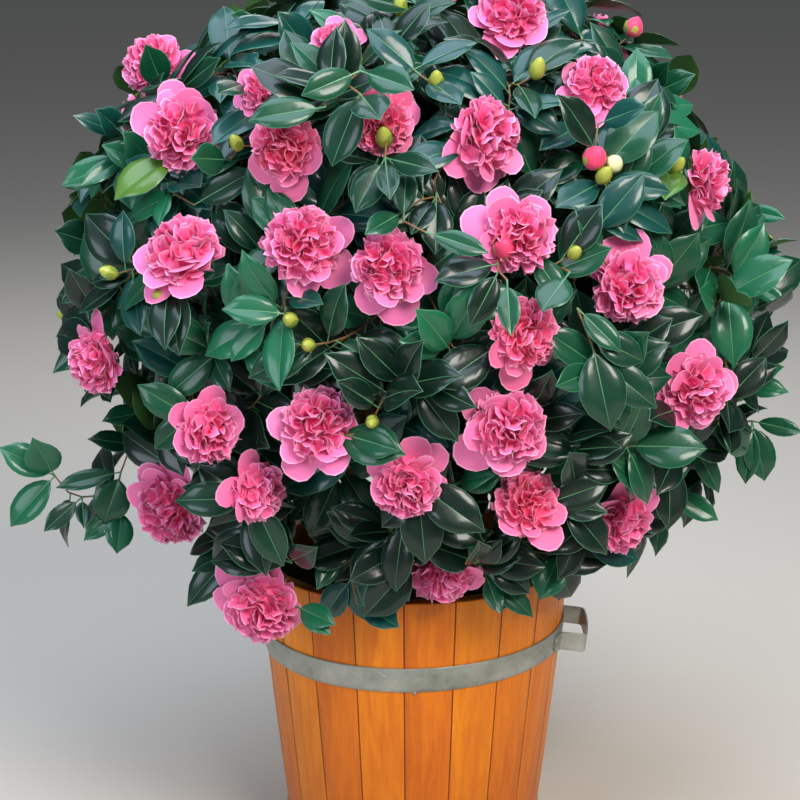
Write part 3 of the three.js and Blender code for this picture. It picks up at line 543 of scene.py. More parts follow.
def wood_material(name, light, dark, offset):
    """Varnished pine: long grain, a few darker streaks, and painted shade that darkens and reddens the
    foot.
    """
    made = material(name, light, 0.45, Specular_IOR_Level=0.3, Coat_Weight=0.06, Coat_Roughness=0.2)
    grain = noise_of(made, scaled_place(made, (90, 90, 3.2), offset), 1.0, 6.0, 0.62, 0.6)
    streak = noise_of(made, scaled_place(made, (46, 46, 1.4), offset), 1.0, 3.0, 0.5, 1.0)
    pores = noise_of(made, scaled_place(made, (420, 420, 16), offset), 1.0, 2.0)
    tone = ramp_of(made, grain, (0.34, dark), (0.6, light))
    tone = mixed(made, range_of(made, streak, 0.56, 0.7, 0.0, 0.4), tone, dark)
    tone = mixed(made, range_of(made, pores, 0.35, 0.6, 0.12, 0.0), tone, "8A4416")
    # Painted shade: from 0.3 m down to the foot the wood turns darker and redder.
    place = add_node(made, "ShaderNodeTexCoord").outputs["Object"]
    height = add_node(made, "ShaderNodeSeparateXYZ", {"Vector": place}).outputs["Z"]
    tone = mixed(made, range_of(made, height, 0.0, 0.3, 0.6, 0.0), tone, "A84A14")
    color_from(made, tone)
    bump(made, grain, 0.12, 0.0006)
    return made


def steel_material():
    """Galvanised strip: soft spangle, dull streaks and a few pale scratches."""
    made = material("galvanised_steel", "868C80", 0.46, Metallic=0.55)
    place = scaled_place(made)
    spangle = add_node(made, "ShaderNodeTexVoronoi", {"Vector": place, "Scale": 140.0}).outputs["Color"]
    cloud = noise_of(made, place, 26.0, 5.0)
    tone = ramp_of(made, cloud, (0.3, "7E8478"), (0.55, "9EA096"), (0.75, "B6B6AE"))
    level = add_node(made, "ShaderNodeSeparateColor", {"Color": spangle}).outputs["Red"]
    tone = mixed(made, range_of(made, level, 0.0, 1.0, 0.0, 0.16), tone, "C2C6C0")
    scratch = noise_of(made, scaled_place(made, (60, 60, 240)), 1.0, 3.0, 0.6, 1.0)
    tone = mixed(made, range_of(made, scratch, 0.66, 0.72, 0.0, 0.55), tone, "D5D8D4")
    color_from(made, tone)
    bump(made, cloud, 0.1, 0.0008)
    return made


def bark_material():
    """Grey-brown bark with upright ridges and some lichen."""
    made = material("bark", "6F5240", 0.85)
    ridges = noise_of(made, scaled_place(made, (150, 150, 40)), 1.0, 6.0, 0.6, 0.5)
    lichen = noise_of(made, scaled_place(made, (26, 26, 26)), 1.0, 4.0)
    tone = ramp_of(made, ridges, (0.3, "3E2D22"), (0.5, "6F5542"), (0.72, "94806A"))
    tone = mixed(made, range_of(made, lichen, 0.58, 0.72, 0.0, 0.5), tone, "8E9180")
    color_from(made, tone)
    bump(made, ridges, 0.5, 0.0012)
    return made


def soil_material():
    """Dark crumbly compost."""
    made = material("potting_soil", "33261C", 0.95)
    crumbs = noise_of(made, scaled_place(made), 260.0, 5.0)
    color_from(made, ramp_of(made, crumbs, (0.35, "1B130D"), (0.55, "3A2B20"), (0.8, "5E4A38")))
    bump(made, crumbs, 0.7, 0.003)
    return made


def rough_material(made, scale, strength, distance):
    """The material with a fine unevenness of its surface."""
    bump(made, noise_of(made, scaled_place(made), scale, 2.0), strength, distance)
    return made


def leaf_material(name, color, roughness=0.42, coat=0.5):
    """Leathery leaf: one plain colour, a clear gloss and a faintly quilted surface."""
    gloss = {"Specular_IOR_Level": 0.25, "Coat_Weight": coat, "Coat_Roughness": 0.16}
    return rough_material(material(name, color, roughness, **gloss), 150.0, 0.25, 0.001)


def petal_material(name, color):
    """Soft petal: one plain colour with fine veins."""
    made = material(name, color, 0.6, Sheen_Weight=0.3, Sheen_Roughness=0.4)
    return rough_material(made, 420.0, 0.12, 0.0004)


def twig_material(name, color, roughness):
    """Young bark with fine dots."""
    return rough_material(material(name, color, roughness), 500.0, 0.2, 0.0004)


def bloom_materials():
    """The pink of most blooms, then the warmer pink of a few."""
    made = []
    for kind, pinks in PETAL_PINKS.items():
        made += [petal_material(f"{kind}_{part}", pink) for part, pink in zip(PETAL_PARTS, pinks)]
        made.append(leaf_material(f"{kind}_calyx", "7D8A45", 0.5, 0.1))
    return made


# Tub


def tub_radius(height):
    """The radius of the staves' outside at a height."""
    share = height / TUB.height
    return mix(TUB.foot_radius, TUB.rim_radius, share) + TUB.belly * math.sin(math.pi * share)


def rounded_levels(low, high, radius, between):
    """Heights with the inset of each, for an edge that is rounded at both ends."""
    corner = [(radius * (1 - math.sin(angle)), radius * (1 - math.cos(angle)))
              for angle in np.linspace(0, math.pi / 2, 4)]
    lower = [(low + rise, inset) for inset, rise in corner]
    upper = [(high - rise, inset) for inset, rise in reversed(corner)]
    middle = [(level, 0.0) for level in np.linspace(low + radius, high - radius, between)[1:-1]]
    return lower + middle + upper


def stave(index, wood, joint):
    """One stave with a curved face, eased edges and a slight unevenness."""
    middle = index / TUB.staves * 2 * math.pi + TUB.turn
    rows = []
    for height, inset in rounded_levels(0.0, TUB.height, STAVE.rounding, STAVE.levels):
        outer = tub_radius(height)
        half = math.pi / TUB.staves - CLEAR / 2 / outer
        face = []
        for share in np.linspace(-1, 1, STAVE.columns):
            uneven = STAVE.uneven * noise.noise(
                Vector((share, height * STAVE.waves_up, index * STAVE.waves_apart))
            )
            face.append((outer - inset + uneven - CLEAR, share * (half - STAVE.ease / outer)))
        edge = outer - inset - STAVE.ease * STAVE.ease_depth
        inner = outer - TUB.stave_thickness + inset
        inner_half = half - STAVE.inner_angle
        row = [(edge, -half), *face, (edge, half), (inner, inner_half), (inner, -inner_half)]
        rows.append([(r * math.cos(middle + a), r * math.sin(middle + a), height) for r, a in row])
    shell = Shell()
    shell.tube(rows, [1] + [0] * (STAVE.columns - 1) + [1, 0, 0, 0])
    piece = shell.build(f"stave_{index + 1:02d}", [wood, joint], sharp=50)
    return dress(piece, "stave_wood", f"tub_stave_{index + 1:02d}")


def hoop(node, middle, slope, steel):
    """A strip with eased edges round the staves. slope is how far it tips towards the right."""
    low, high = middle - HOOP.width / 2, middle + HOOP.width / 2
    inside, outside, ease = CLEAR, SEAT + HOOP.thickness, HOOP.ease
    profile = [(inside, low), (outside - ease, low), (outside, low + ease)]
    profile += [(outside + HOOP.swell, mix(low, high, share)) for share in (0.2, 0.5, 0.8)]
    profile += [(outside, high - ease), (outside - ease, high), (inside, high)]
    rows = []
    for angle in round_turn(HOOP.steps, TUB.turn):
        lift = slope * tub_radius(middle) * math.cos(angle)
        radii = [tub_radius(height + lift) + offset for offset, height in profile]
        rows.append([(radius * math.cos(angle), radius * math.sin(angle), height + lift)
                     for radius, (_, height) in zip(radii, profile)])
    shell = Shell()
    shell.grid(rows + rows[:1], wrap=True)
    return dress(shell.build("steel_" + node, [steel], sharp=40), "galvanised_steel", node)


def handle_level():
    """The height of the handle's middle, and the radius of the hoop's outside there."""
    level = HOOP.upper_height + HANDLE.above_hoop_middle
    return level, tub_radius(level) + SEAT + HOOP.thickness


def handle_path():
    """The strap's middle line seen from above: (outwards, across), with the feet along the hoop."""
    hoop_radius = handle_level()[1]
    rest = HANDLE.thickness / 2 + CLEAR * 2
    span, out, radius, bow = HANDLE.half_span, HANDLE.stand_off, HANDLE.bend_radius, HANDLE.bow

    def on_hoop(across):
        return math.sqrt(hoop_radius**2 - across**2) - hoop_radius + rest

    def bend(*corners):
        start, corner, end = [Vector(place) for place in corners]
        return [start * (1 - t) ** 2 + corner * 2 * t * (1 - t) + end * t * t
                for t in np.linspace(0, 1, 7)]

    at_foot, at_corner = on_hoop(span + radius), on_hoop(span)
    turned_in = (out + bow / 4, -span + radius)
    half = [Vector((on_hoop(across), -across))
            for across in np.linspace(span + HANDLE.foot, span + radius, 9)[:-1]]
    half += bend((at_foot, -span - radius), (at_corner, -span), (at_corner + radius, -span))
    half += bend((out - radius, -span), (out, -span), turned_in)
    half += bend(turned_in, (out + bow, -span / 2), (out + bow, 0))[1:]
    return half + [Vector((point.x, -point.y)) for point in reversed(half[:-1])]


def handle_place(out, across, up):
    """A point of the handle in the part's frame. The strap leans with the side of the tub."""
    level, radius = handle_level()
    lean = math.atan((TUB.rim_radius - TUB.foot_radius) / TUB.height)
    outwards = radius + out * math.cos(lean) + up * math.sin(lean)
    height = level - out * math.sin(lean) + up * math.cos(lean)
    return *rotated(outwards, across, HANDLE.azimuth), height


def handle(steel):
    """A bent strap with rounded feet, and a rivet through each foot."""
    path = handle_path()
    half_height, half_thick = HANDLE.strap_height / 2, HANDLE.thickness / 2
    eased = 1 - HANDLE.ease / half_thick
    lengths = lengths_along(path)
    rows = []
    for index, point in enumerate(path):
        along = heading_at(path, index)
        side = Vector((along.y, -along.x))
        to_end = min(lengths[index], lengths[-1] - lengths[index]) + HANDLE.blunt
        shape = math.sqrt(max(0.0, 1 - max(0.0, 1 - to_end / half_height) ** 2))
        tall = max(half_height * shape, HANDLE.least)
        low = tall - HANDLE.ease
        section = [(1, -low), (eased, -tall), (-eased, -tall), (-1, -low),
                   (-1, low), (-eased, tall), (eased, tall), (1, low)]
        rows.append([handle_place(*(point + side * (half_thick * s)), up) for s, up in section])
    shell = Shell()
    shell.tube(rows)
    middle_of_foot = HANDLE.half_span + HANDLE.foot * HANDLE.rivet_place
    for across in (-middle_of_foot, middle_of_foot):
        out = next(point.x for point in path if abs(point.y - across) < HANDLE.rivet_reach) + half_thick
        rivet(shell, handle_place, out, across, RIVET)
    return dress(shell.build("strap_handle", [steel], sharp=40), "galvanised_steel", "handle")


def rivet(shell, place, out, across, head):
    """A domed head that stands on a plane of place's across and up."""
    rings = []
    for share in RIVET.shares:
        size = head.radius * math.cos(share * math.pi / 2) + RIVET.tip
        rise = head.height * math.sin(share * math.pi / 2) - RIVET.sunk
        rings.append([place(out + rise, across + size * math.cos(angle), size * math.sin(angle))
                      for angle in round_turn(RIVET.sides)])
    shell.tube(rings)


def hoop_nail(steel):
    """The bent nail that holds the upper hoop's lower edge at the front."""
    low = HOOP.upper_height - HOOP.width / 2 - NAIL.below
    surface = tub_radius(low)

    def place(out, across, up):
        return across, -(surface + out), low + up

    shell = Shell()
    rivet(shell, place, HOOP.thickness * 0.8, NAIL.across, NAIL)
    shell.tube(rings_along([place(out, NAIL.across, 0) for out in NAIL.outs], NAIL.radii, 10))
    return dress(shell.build("hoop_nail", [steel], sharp=40), "galvanised_steel")


def soil(dirt):
    """Crumbly soil that fills the tub, a little higher round the stem."""
    angles = round_turn(SOIL.sides)
    foot = tub_radius(SOIL.foot) - SOIL.foot_inset
    rows = [[(foot * math.cos(angle), foot * math.sin(angle), SOIL.foot_height) for angle in angles]]
    edge = tub_radius(TUB.soil_edge) - TUB.stave_thickness - SOIL.gap
    for share in np.linspace(1, 0.02, SOIL.rings):
        row = []
        for angle in angles:
            x, y = edge * share * math.cos(angle), edge * share * math.sin(angle)
            crumbs = noise.fractal(Vector((x, y, 0)) * SOIL.grain, 0.8, 2.1, 4)
            level = mix(TUB.soil_top, TUB.soil_edge, share**2)
            row.append((x, y, level + SOIL.crumb * crumbs * min(1, (1 - share) * SOIL.still_edge)))
        rows.append(row)
    shell = Shell()
    shell.tube(rows)
    return dress(shell.build("soil_surface", [dirt], sharp=60), "potting_soil", "soil")


def build_tub(steel):
    joint = material("dark_joint", "94501C", 0.7)
    woods = []
    for number, (light, dark) in enumerate(WOOD_TONES):
        offset = tuple(part * number for part in WOOD_OFFSET)
        woods.append(wood_material(f"varnished_wood_{number + 1}", light, dark, offset))
    for index in range(TUB.staves):
        stave(index, woods[TONE_ORDER[index % len(TONE_ORDER)]], joint)
    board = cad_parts["tub_board"]
    board.data.materials.clear()
    board.data.materials.append(woods[1])
    hoop("hoop_upper", HOOP.upper_height, HOOP.upper_slope, steel)
    hoop("hoop_lower", HOOP.lower_height, 0.0, steel)
    handle(steel)
    hoop_nail(steel)
    soil(soil_material())


# Crown


def crown_point(direction, share=1.0):
    """The point of the crown's surface in a direction from its centre, or a share of the way there."""
    power = CROWN.upper_power if direction.z > 0 else CROWN.lower_power
    flat = math.hypot(direction.x, direction.y)
    size = (flat**power + abs(direction.z) ** power) ** (1 / power)
    return CROWN.centre + Vector(d * share / size * r for d, r in zip(direction, CROWN.reach))


def crown_direction(point):
    return Vector(d / r for d, r in zip(point - CROWN.centre, CROWN.reach)).normalized()


def crown_outward(point):
    """The way that the crown's surface faces at a point."""
    return Vector(d / r / r for d, r in zip(point - CROWN.centre, CROWN.reach)).normalized()


def spiral(plan):
    """Directions spread evenly round the plan's part of a ball."""
    directions = []
    for index in range(plan.count):
        height = mix(plan.lowest, plan.highest, (index + 0.5) / plan.count)
        flat = math.sqrt(1 - height * height)
        azimuth = index * GOLDEN_ANGLE + plan.turn
        directions.append(Vector((flat * math.cos(azimuth), flat * math.sin(azimuth), height)))
    return directions


def front_of(across, up, share):
    """How far forward the crown's surface lies at a place seen from the front."""
    near, far = 0.0, CROWN.reach.y
    for _ in range(30):
        middle = (near + far) / 2
        point = Vector((across, -middle, up))
        limit = (crown_point(crown_direction(point), share) - CROWN.centre).length
        if (point - CROWN.centre).length < limit:
            near = middle
        else:
            far = middle
    return near


def outline_share(direction):
    """How much of the crown's reach its shoots take in a direction."""
    angle = math.degrees(math.atan2(direction.z, direction.x)) % 360
    edge = float(np.interp(angle, *zip(*OUTLINE)))
    return mix(edge, 1.0, direction.y**2) + UNEVEN * noise.noise(direction * 2.4)


def seen_at(across, down, forward):
    """The place that the photo shows at a pixel, so many mm in front of the plant's middle."""
    fall = math.radians(VIEW_FALL)
    ahead = Vector((0, math.cos(fall), -math.sin(fall)))
    above = Vector((0, math.sin(fall), math.cos(fall)))
    right = Vector((1, 0, 0))
    ray = ahead * VIEW_PIXELS + right * (across - PHOTO_MIDDLE) + above * (PHOTO_MIDDLE - down)
    return VIEWPOINT + ray * ((-forward * MM - VIEWPOINT.y) / ray.y)


def facing(right, lift):
    """The way that a bloom looks, from degrees to the right of the front and up from level."""
    azimuth, height = math.radians(right), math.radians(lift)
    flat = math.cos(height)
    return Vector((flat * math.sin(azimuth), -flat * math.cos(azimuth), math.sin(height)))


def plan_blooms():
    """The blooms seen from the front, then those on the sides and the back, as the solids have them."""
    blooms = []

    def add(centre, width, way):
        blooms.append(SimpleNamespace(centre=centre, radius=width / 2, facing=way))

    for across, up, width, right, lift, *forward in SEEN_BLOOMS:
        across, up = across * MM, up * MM
        out = forward[0] * MM if forward else front_of(across, up, BLOOM_SHARE)
        add(Vector((across, -out, up)), width * MM, facing(right, lift))
    draw = random_stream(HIDDEN_BLOOMS.seed)
    for direction in spiral(HIDDEN_BLOOMS):
        size = HIDDEN_BLOOMS.least_size + HIDDEN_BLOOMS.size_range * draw()
        centre = crown_point(direction, BLOOM_SHARE)
        clash = any((other.centre - centre).length < BLOOM_SPACING for other in blooms)
        if -direction.y <= HIDDEN_BLOOMS.front_limit and not clash:
            way = crown_outward(centre) + UP * (HIDDEN_BLOOMS.rise * draw())
            add(centre, HIDDEN_BLOOMS.width * size, way.normalized())
    return blooms


def plan_buds(blooms):
    """Buds stand a little out of the crown, on shoots of their own."""
    buds = []
    for across, up, width, kind in BUDS:
        across, up = across * MM, up * MM
        centre = Vector((across, -front_of(across, up, BUD_SHARE.seen), up))
        buds.append(SimpleNamespace(centre=centre, radius=width * MM / 2, kind=kind))
    for index, direction in enumerate(spiral(HIDDEN_BUDS)):
        centre = crown_point(direction, BUD_SHARE.hidden)
        near = any((bloom.centre - centre).length < bloom.radius + HIDDEN_BUDS.room for bloom in blooms)
        if -direction.y < HIDDEN_BUDS.front_limit and not near:
            kind = "green" if index % HIDDEN_BUDS.every_pink else "pink"
            buds.append(SimpleNamespace(centre=centre, radius=HIDDEN_BUD_RADII[kind], kind=kind))
    for bud in buds:
        bud.facing = (crown_outward(bud.centre) + UP * BUD_RISE).normalized()
    return buds


def stem_point(share):
    """The middle of the stem at a share of its height."""
    bottom = TUB.soil_top + CLEAR
    return Vector((STEM.lean[0] * share**2, STEM.lean[1] * share**2, bottom + STEM.height * share))


def stem_radius(share):
    return float(np.interp(share, STEM_LEVELS, STEM.radii)) * MM


def bough_points(direction, index):
    """The solids' line of the bough that carries one mass, from inside the stem to its tip."""
    tip = crown_point(direction, BOUGH.inside_reach)
    on_top = index == MASSES.count - 1
    share = 1.0 if on_top else mix(BOUGH.lowest, BOUGH.highest, index / (MASSES.count - 2))
    inside = stem_point(share)
    away = tip - inside
    away.z = 0
    leaving = (inside - stem_point(STEM_LEVELS[-2])).normalized() if on_top else away.normalized()
    root = inside + leaving * (CLEAR if on_top else stem_radius(share) + CLEAR * 3)
    collar = root + leaving * BOUGH.collar
    pull = BOUGH.pull * (collar - tip).length
    heading = ((tip - root).normalized() + crown_outward(tip)).normalized()
    controls = (collar, collar + leaving * pull + UP * (pull * BOUGH.rise), tip - heading * pull, tip)
    curve = []
    for t in np.linspace(0, 1, BOUGH.steps):
        weights = ((1 - t) ** 3, 3 * t * (1 - t) ** 2, 3 * t * t * (1 - t), t**3)
        curve.append(sum((c * w for c, w in zip(controls, weights)), Vector((0, 0, 0))))
    return [inside, root] + curve


def clear_of_tub(point, room=0.004):
    """Whether a point keeps off the tub, its hoops and its handle."""
    from_axis = math.hypot(point.x, point.y)
    height = min(point.z, TUB.height)
    if from_axis < tub_radius(height) + room and point.z < TUB.height + room:
        return False
    beside = abs(point.y) < HANDLE.half_span + HANDLE.foot + room and point.x > 0
    reach = tub_radius(TUB.height) + HANDLE.stand_off
    return not (beside and from_axis < reach and point.z < HOOP.upper_height + HANDLE.strap_height)


# Growth


def plan_masses(blooms, buds):
    """Masses share out blooms, buds and shoots by the direction that each lies in."""
    masses = []
    for index, direction in enumerate(spiral(MASSES)):
        points = bough_points(direction, index)
        heading = (points[-1] - points[-2]).normalized()
        masses.append(SimpleNamespace(direction=direction, points=points, heading=heading, targets=[]))

    def add(point, kind, tips=()):
        direction = crown_direction(point)
        nearest = max(masses, key=lambda mass: mass.direction.dot(direction))
        nearest.targets.append(SimpleNamespace(point=point, kind=kind, tips=tips))

    for bloom in blooms:
        add(bloom.centre - bloom.facing * (bloom.radius * 0.3), "bloom")
    for bud in buds:
        add(bud.centre - bud.facing * bud.radius, "bud")
    for plan, kind in ((SHOOTS, "leaves"), (INNER_SHOOTS, "inner")):
        for index, direction in enumerate(spiral(plan)):
            depth = plan.depths[index % len(plan.depths)] * outline_share(direction)
            point = crown_point(direction, depth)
            crowded = any((bloom.centre - point).length < bloom.radius + SHOOT_ROOM for bloom in blooms)
            if clear_of_tub(point) and not crowded:
                add(point, kind)
    for across, up, forward in RIM_SHOOTS:
        add(Vector((across, -forward, up)) * MM, "leaves")
    for node, forward, tips in SPRAYS:
        add(seen_at(*node, forward), "spray", [(*tip, forward) for tip in tips])
    return masses


def grow_twigs(mass):
    """Twigs that branch from one stem: each reaches for its place from the nearest wood behind it."""
    places, headings, radii = [], [], []
    twigs = []

    def add_twig(points, sizes):
        twigs.append((points, sizes))
        for before, point, low, high in zip(points, points[1:], sizes, sizes[1:]):
            along = (point - before).normalized()
            count = max(1, round((point - before).length / TWIG.bud_spacing))
            for place in range(1, count + 1):
                places.append(before.lerp(point, place / count))
                headings.append(along)
                radii.append(mix(low, high, place / count))

    foot = mass.points[-1]
    stem = [foot + mass.heading * (MASS_STEM * s / 4) for s in range(5)]
    add_twig(stem, [BOUGH.end * (1 - TWIG.stem_taper * s) for s in range(5)])
    for target in sorted(mass.targets, key=lambda t: (t.point - foot).length):
        gaps = np.array(target.point) - np.array(places)
        lengths = np.linalg.norm(gaps, axis=1)
        turned = 1 - np.einsum("ij,ij->i", np.array(headings), gaps) / lengths
        start = int(np.argmin(lengths * (1 + FORWARD * turned)))
        root = places[start]
        steps = max(2, round(lengths[start] / TWIG.step))
        control = root + headings[start] * (lengths[start] * TWIG.straight)
        points = [root * (1 - t) ** 2 + control * (2 * t * (1 - t)) + target.point * t * t
                  for t in np.linspace(0, 1, steps + 1)]
        thick = max(radii[start] * TWIG.tapering, TWIG.tip_radius)
        sizes = list(np.linspace(thick, TWIG.tip_radius, steps + 1))
        sizes[0] = radii[start] * TWIG.root_share
        add_twig(points, sizes)
        target.twig = points
    return twigs


# Leaves


def half_width(share):
    """Half the width of a leaf one long and one wide: an ellipse with a short drawn out tip."""
    body = math.sin(math.pi * share**0.92) ** 0.66 if share < 1 else 0.0
    return 0.5 * body * (0.45 + 0.55 * min(1.0, (1 - share) / 0.2))


def leaf_frame(leaf):
    across = leaf.face.cross(leaf.heading).normalized()
    return np.array([leaf.heading, across, leaf.face])


def blade_row(leaf, share):
    """The points across a leaf at a share of its length: margins, rib and a keel below."""
    width = leaf.length * leaf.width_share
    half = max(half_width(share) * width, BLADE.least)
    margin = min(BLADE.margin, half * BLADE.edge_share)
    rib = min(BLADE.rib * (BLADE.rib_taper - share), half * BLADE.edge_share)
    sides = [-half, -half + margin, -half / 2, -rib]
    out = leaf.stalk + share * leaf.length
    row = []
    for y in sides + [-side for side in reversed(sides)]:
        edge = abs(y) / half
        dome = leaf.fold * abs(y) * (1 - edge * half / width) + leaf.dome * half * edge * (1 - edge)
        phase = leaf.phase + (BLADE.other_side if y > 0 else 0)
        wave = leaf.wave * math.sin(2 * math.pi * BLADE.waves * share + phase) * edge**2
        wave *= min(1, half / BLADE.wave_from)
        row.append([out + BLADE.sweep * abs(y) * (1 - share), y, dome + wave])
    return row + [[out, 0.0, -BLADE.keel - BLADE.keel_foot * (1 - share)]]


def leaf_grid(leaf):
    """One leaf as a closed tube of points: a stalk that flattens into a blade with domed halves."""
    last = BLADE.top_columns - 1
    angles = [math.pi * (1 - column / last) for column in range(last + 1)] + [-math.pi / 2]
    stalk = [(0.0, BLADE.stalk_radius * math.cos(a), BLADE.stalk_radius * math.sin(a)) for a in angles]
    grid = np.array([stalk] + [blade_row(leaf, share) for share in leaf.rows])
    reach = grid[..., 0] / (leaf.length + leaf.stalk)
    tip = np.clip(reach - BLADE.tip_from, 0, 1) ** BLADE.tip_power
    grid[..., 2] -= leaf.length * (leaf.droop * reach**BLADE.droop_power + leaf.tip_droop * tip)
    twist = leaf.twist * reach
    y, z = grid[..., 1].copy(), grid[..., 2].copy()
    grid[..., 1] = y * np.cos(twist) - z * np.sin(twist)
    grid[..., 2] = y * np.sin(twist) + z * np.cos(twist)
    return grid @ leaf_frame(leaf) + np.array(leaf.base)


def leaf_slots(leaf):
    """Material numbers of a leaf's quads, row by row from its stalk."""
    blade = FIRST_TONE + leaf.tone
    # The outer quads of each row take the pale strip that paints the edge highlight.
    row = [EDGE_HIGHLIGHT_SLOT, blade, blade, RIB_SLOT, blade, blade, EDGE_HIGHLIGHT_SLOT, UNDER_SLOT, UNDER_SLOT]
    return [[RIB_SLOT] * len(row)] + [row] * (len(leaf.rows) - 1)


def outline_tree(leaf):
    """A coarse leaf by which its room is tested."""
    half = leaf.length * leaf.width_share / 2
    stalk, length = leaf.stalk, leaf.length
    flat = [(stalk * 0.9, 0, 0)]
    for share, wide in ((0.25, 0.85), (0.6, 0.95)):
        flat += [(stalk + length * share, half * wide, 0), (stalk + length * share, -half * wide, 0)]
    points = np.array(flat + [(stalk + length, 0, 0)])
    reach = points[:, 0] / (length + stalk)
    points[:, 2] = np.abs(points[:, 1]) * leaf.fold - leaf.droop * length * reach**BLADE.droop_power
    points = points @ leaf_frame(leaf) + np.array(leaf.base)
    tree = BVHTree.FromPolygons(points.tolist(), [(0, 2, 1), (1, 2, 4, 3), (3, 4, 5)])
    return points, tree


def sites_on(points, kind, draw):
    """Places for leaves on a shoot, from its tip backwards, with how far round each stands."""
    sites = []
    first = draw() * 2 * math.pi
    backwards = list(reversed(points))
    lengths = lengths_along(backwards)
    for number, gap in enumerate(LEAF_GAPS[kind]):
        if gap > lengths[-1] * GAPS_SHARE:
            break
        step = next(at for at, length in enumerate(lengths) if length >= gap)
        share = (gap - lengths[step - 1]) / (lengths[step] - lengths[step - 1])
        place = backwards[step - 1].lerp(backwards[step], share)
        sites.append((place, first + number * GOLDEN_ANGLE))
    return sites


def leaf_shape(draw):
    """The size and bend of one leaf, a little different each time."""
    return SimpleNamespace(
        length=LEAF.length * (0.8 + 0.36 * draw()), width_share=LEAF.width_share * (0.88 + 0.24 * draw()),
        stalk=LEAF.stalk * (0.8 + 0.5 * draw()), fold=0.1 + 0.34 * draw(), dome=0.5 + 0.5 * draw(),
        wave=0.0013 * draw(), phase=draw() * 6.28, droop=0.04 + 0.2 * draw(), tip_droop=0.6 * draw(),
        twist=0.4 * (draw() - 0.5),
    )


def square_to(face, heading):
    """The part of a face that stands square to a leaf's heading."""
    return (face - heading * face.dot(heading)).normalized()


def spray_leaf(base, tip, draw):
    """A leaf from the end of a shoot to a tip that the photo shows. A short one points at the viewer."""
    across, down, width_share, forward = tip
    end = seen_at(across, down, forward)
    shape = leaf_shape(draw)
    shape.width_share = width_share
    shape.droop *= SPRAY_STANCE.droop
    shape.twist *= SPRAY_STANCE.twist
    seen = (end - base).length
    length = max(seen * SPRAY_STANCE.stretch, SPRAY_STANCE.least)
    end += (VIEWPOINT - end).normalized() * math.sqrt(length**2 - seen**2) * SPRAY_STANCE.viewer
    shape.length = (end - base).length - shape.stalk
    heading = (end - base).normalized()
    face = LIGHT_SIDE + (VIEWPOINT - end).normalized() * SPRAY_STANCE.to_viewer
    face += Vector((draw() - 0.5, 0, draw() - 0.5)) * SPRAY_STANCE.lean
    return SimpleNamespace(base=base, heading=heading, face=square_to(face, heading), **vars(shape))


def grow_sprays(masses, draw):
    """The leaves that the photo shows one by one."""
    placed = []
    for target in [target for mass in masses for target in mass.targets if target.kind == "spray"]:
        tone = SPRAY_TONES[int(draw() * len(SPRAY_TONES))]
        for tip in target.tips:
            leaf = spray_leaf(target.twig[-1], tip, draw)
            points, leaf.tree = outline_tree(leaf)
            leaf.middle = Vector(points[1:5].mean(axis=0))
            leaf.tone, leaf.rows = tone, LEAF_ROWS
            placed.append(leaf)
    return placed


def kept_clear(blooms, buds):
    """Balls that leaves keep out of: each bloom and bud, and the way that it looks or is looked at."""
    balls = []
    for bloom in blooms:
        sight = bloom.facing
        if bloom.centre.y < FRONT_HALF:
            sight = ((VIEWPOINT - bloom.centre).normalized() + sight * BLOOM_LOOK).normalized()
        balls += [(bloom, sight, ahead, share) for ahead, share in BLOOM_ROOMS]
    for bud in buds:
        sight = (VIEWPOINT - bud.centre).normalized() if bud.centre.y < FRONT_HALF else bud.facing
        balls += [(bud, sight, ahead, share) for ahead, share in BUD_ROOMS]
    centres = [piece.centre + sight * (piece.radius * ahead) for piece, sight, ahead, _ in balls]
    return np.array(centres), np.array([piece.radius * share for piece, *_, share in balls])


def grow_leaves(masses, blooms, buds, wood):
    """Leaves round every shoot, each in the first of its poses that has room."""
    draw = random_stream(LEAF.seed)
    keep_out = kept_clear(blooms, buds)
    placed = grow_sprays(masses, draw)
    for target in [target for mass in masses for target in mass.targets]:
        inner = target.kind == "inner"
        # Painted shade: inner shoots take the darkest green, and low sprays often take the shade green.
        tone = INNER_SHADE_TONE if inner else spray_tone(target.point.z, draw)
        outward = crown_outward(target.twig[-1])
        outward.z = max(outward.z, LEAF.lowest_face)
        outward.normalize()
        for base, angle in sites_on(target.twig, target.kind, draw):
            leaf = find_room(base, outward, angle, draw, keep_out, wood, placed)
            if leaf:
                leaf.tone = tone
                leaf.rows = INNER_ROWS if inner else LEAF_ROWS
                placed.append(leaf)
    return placed


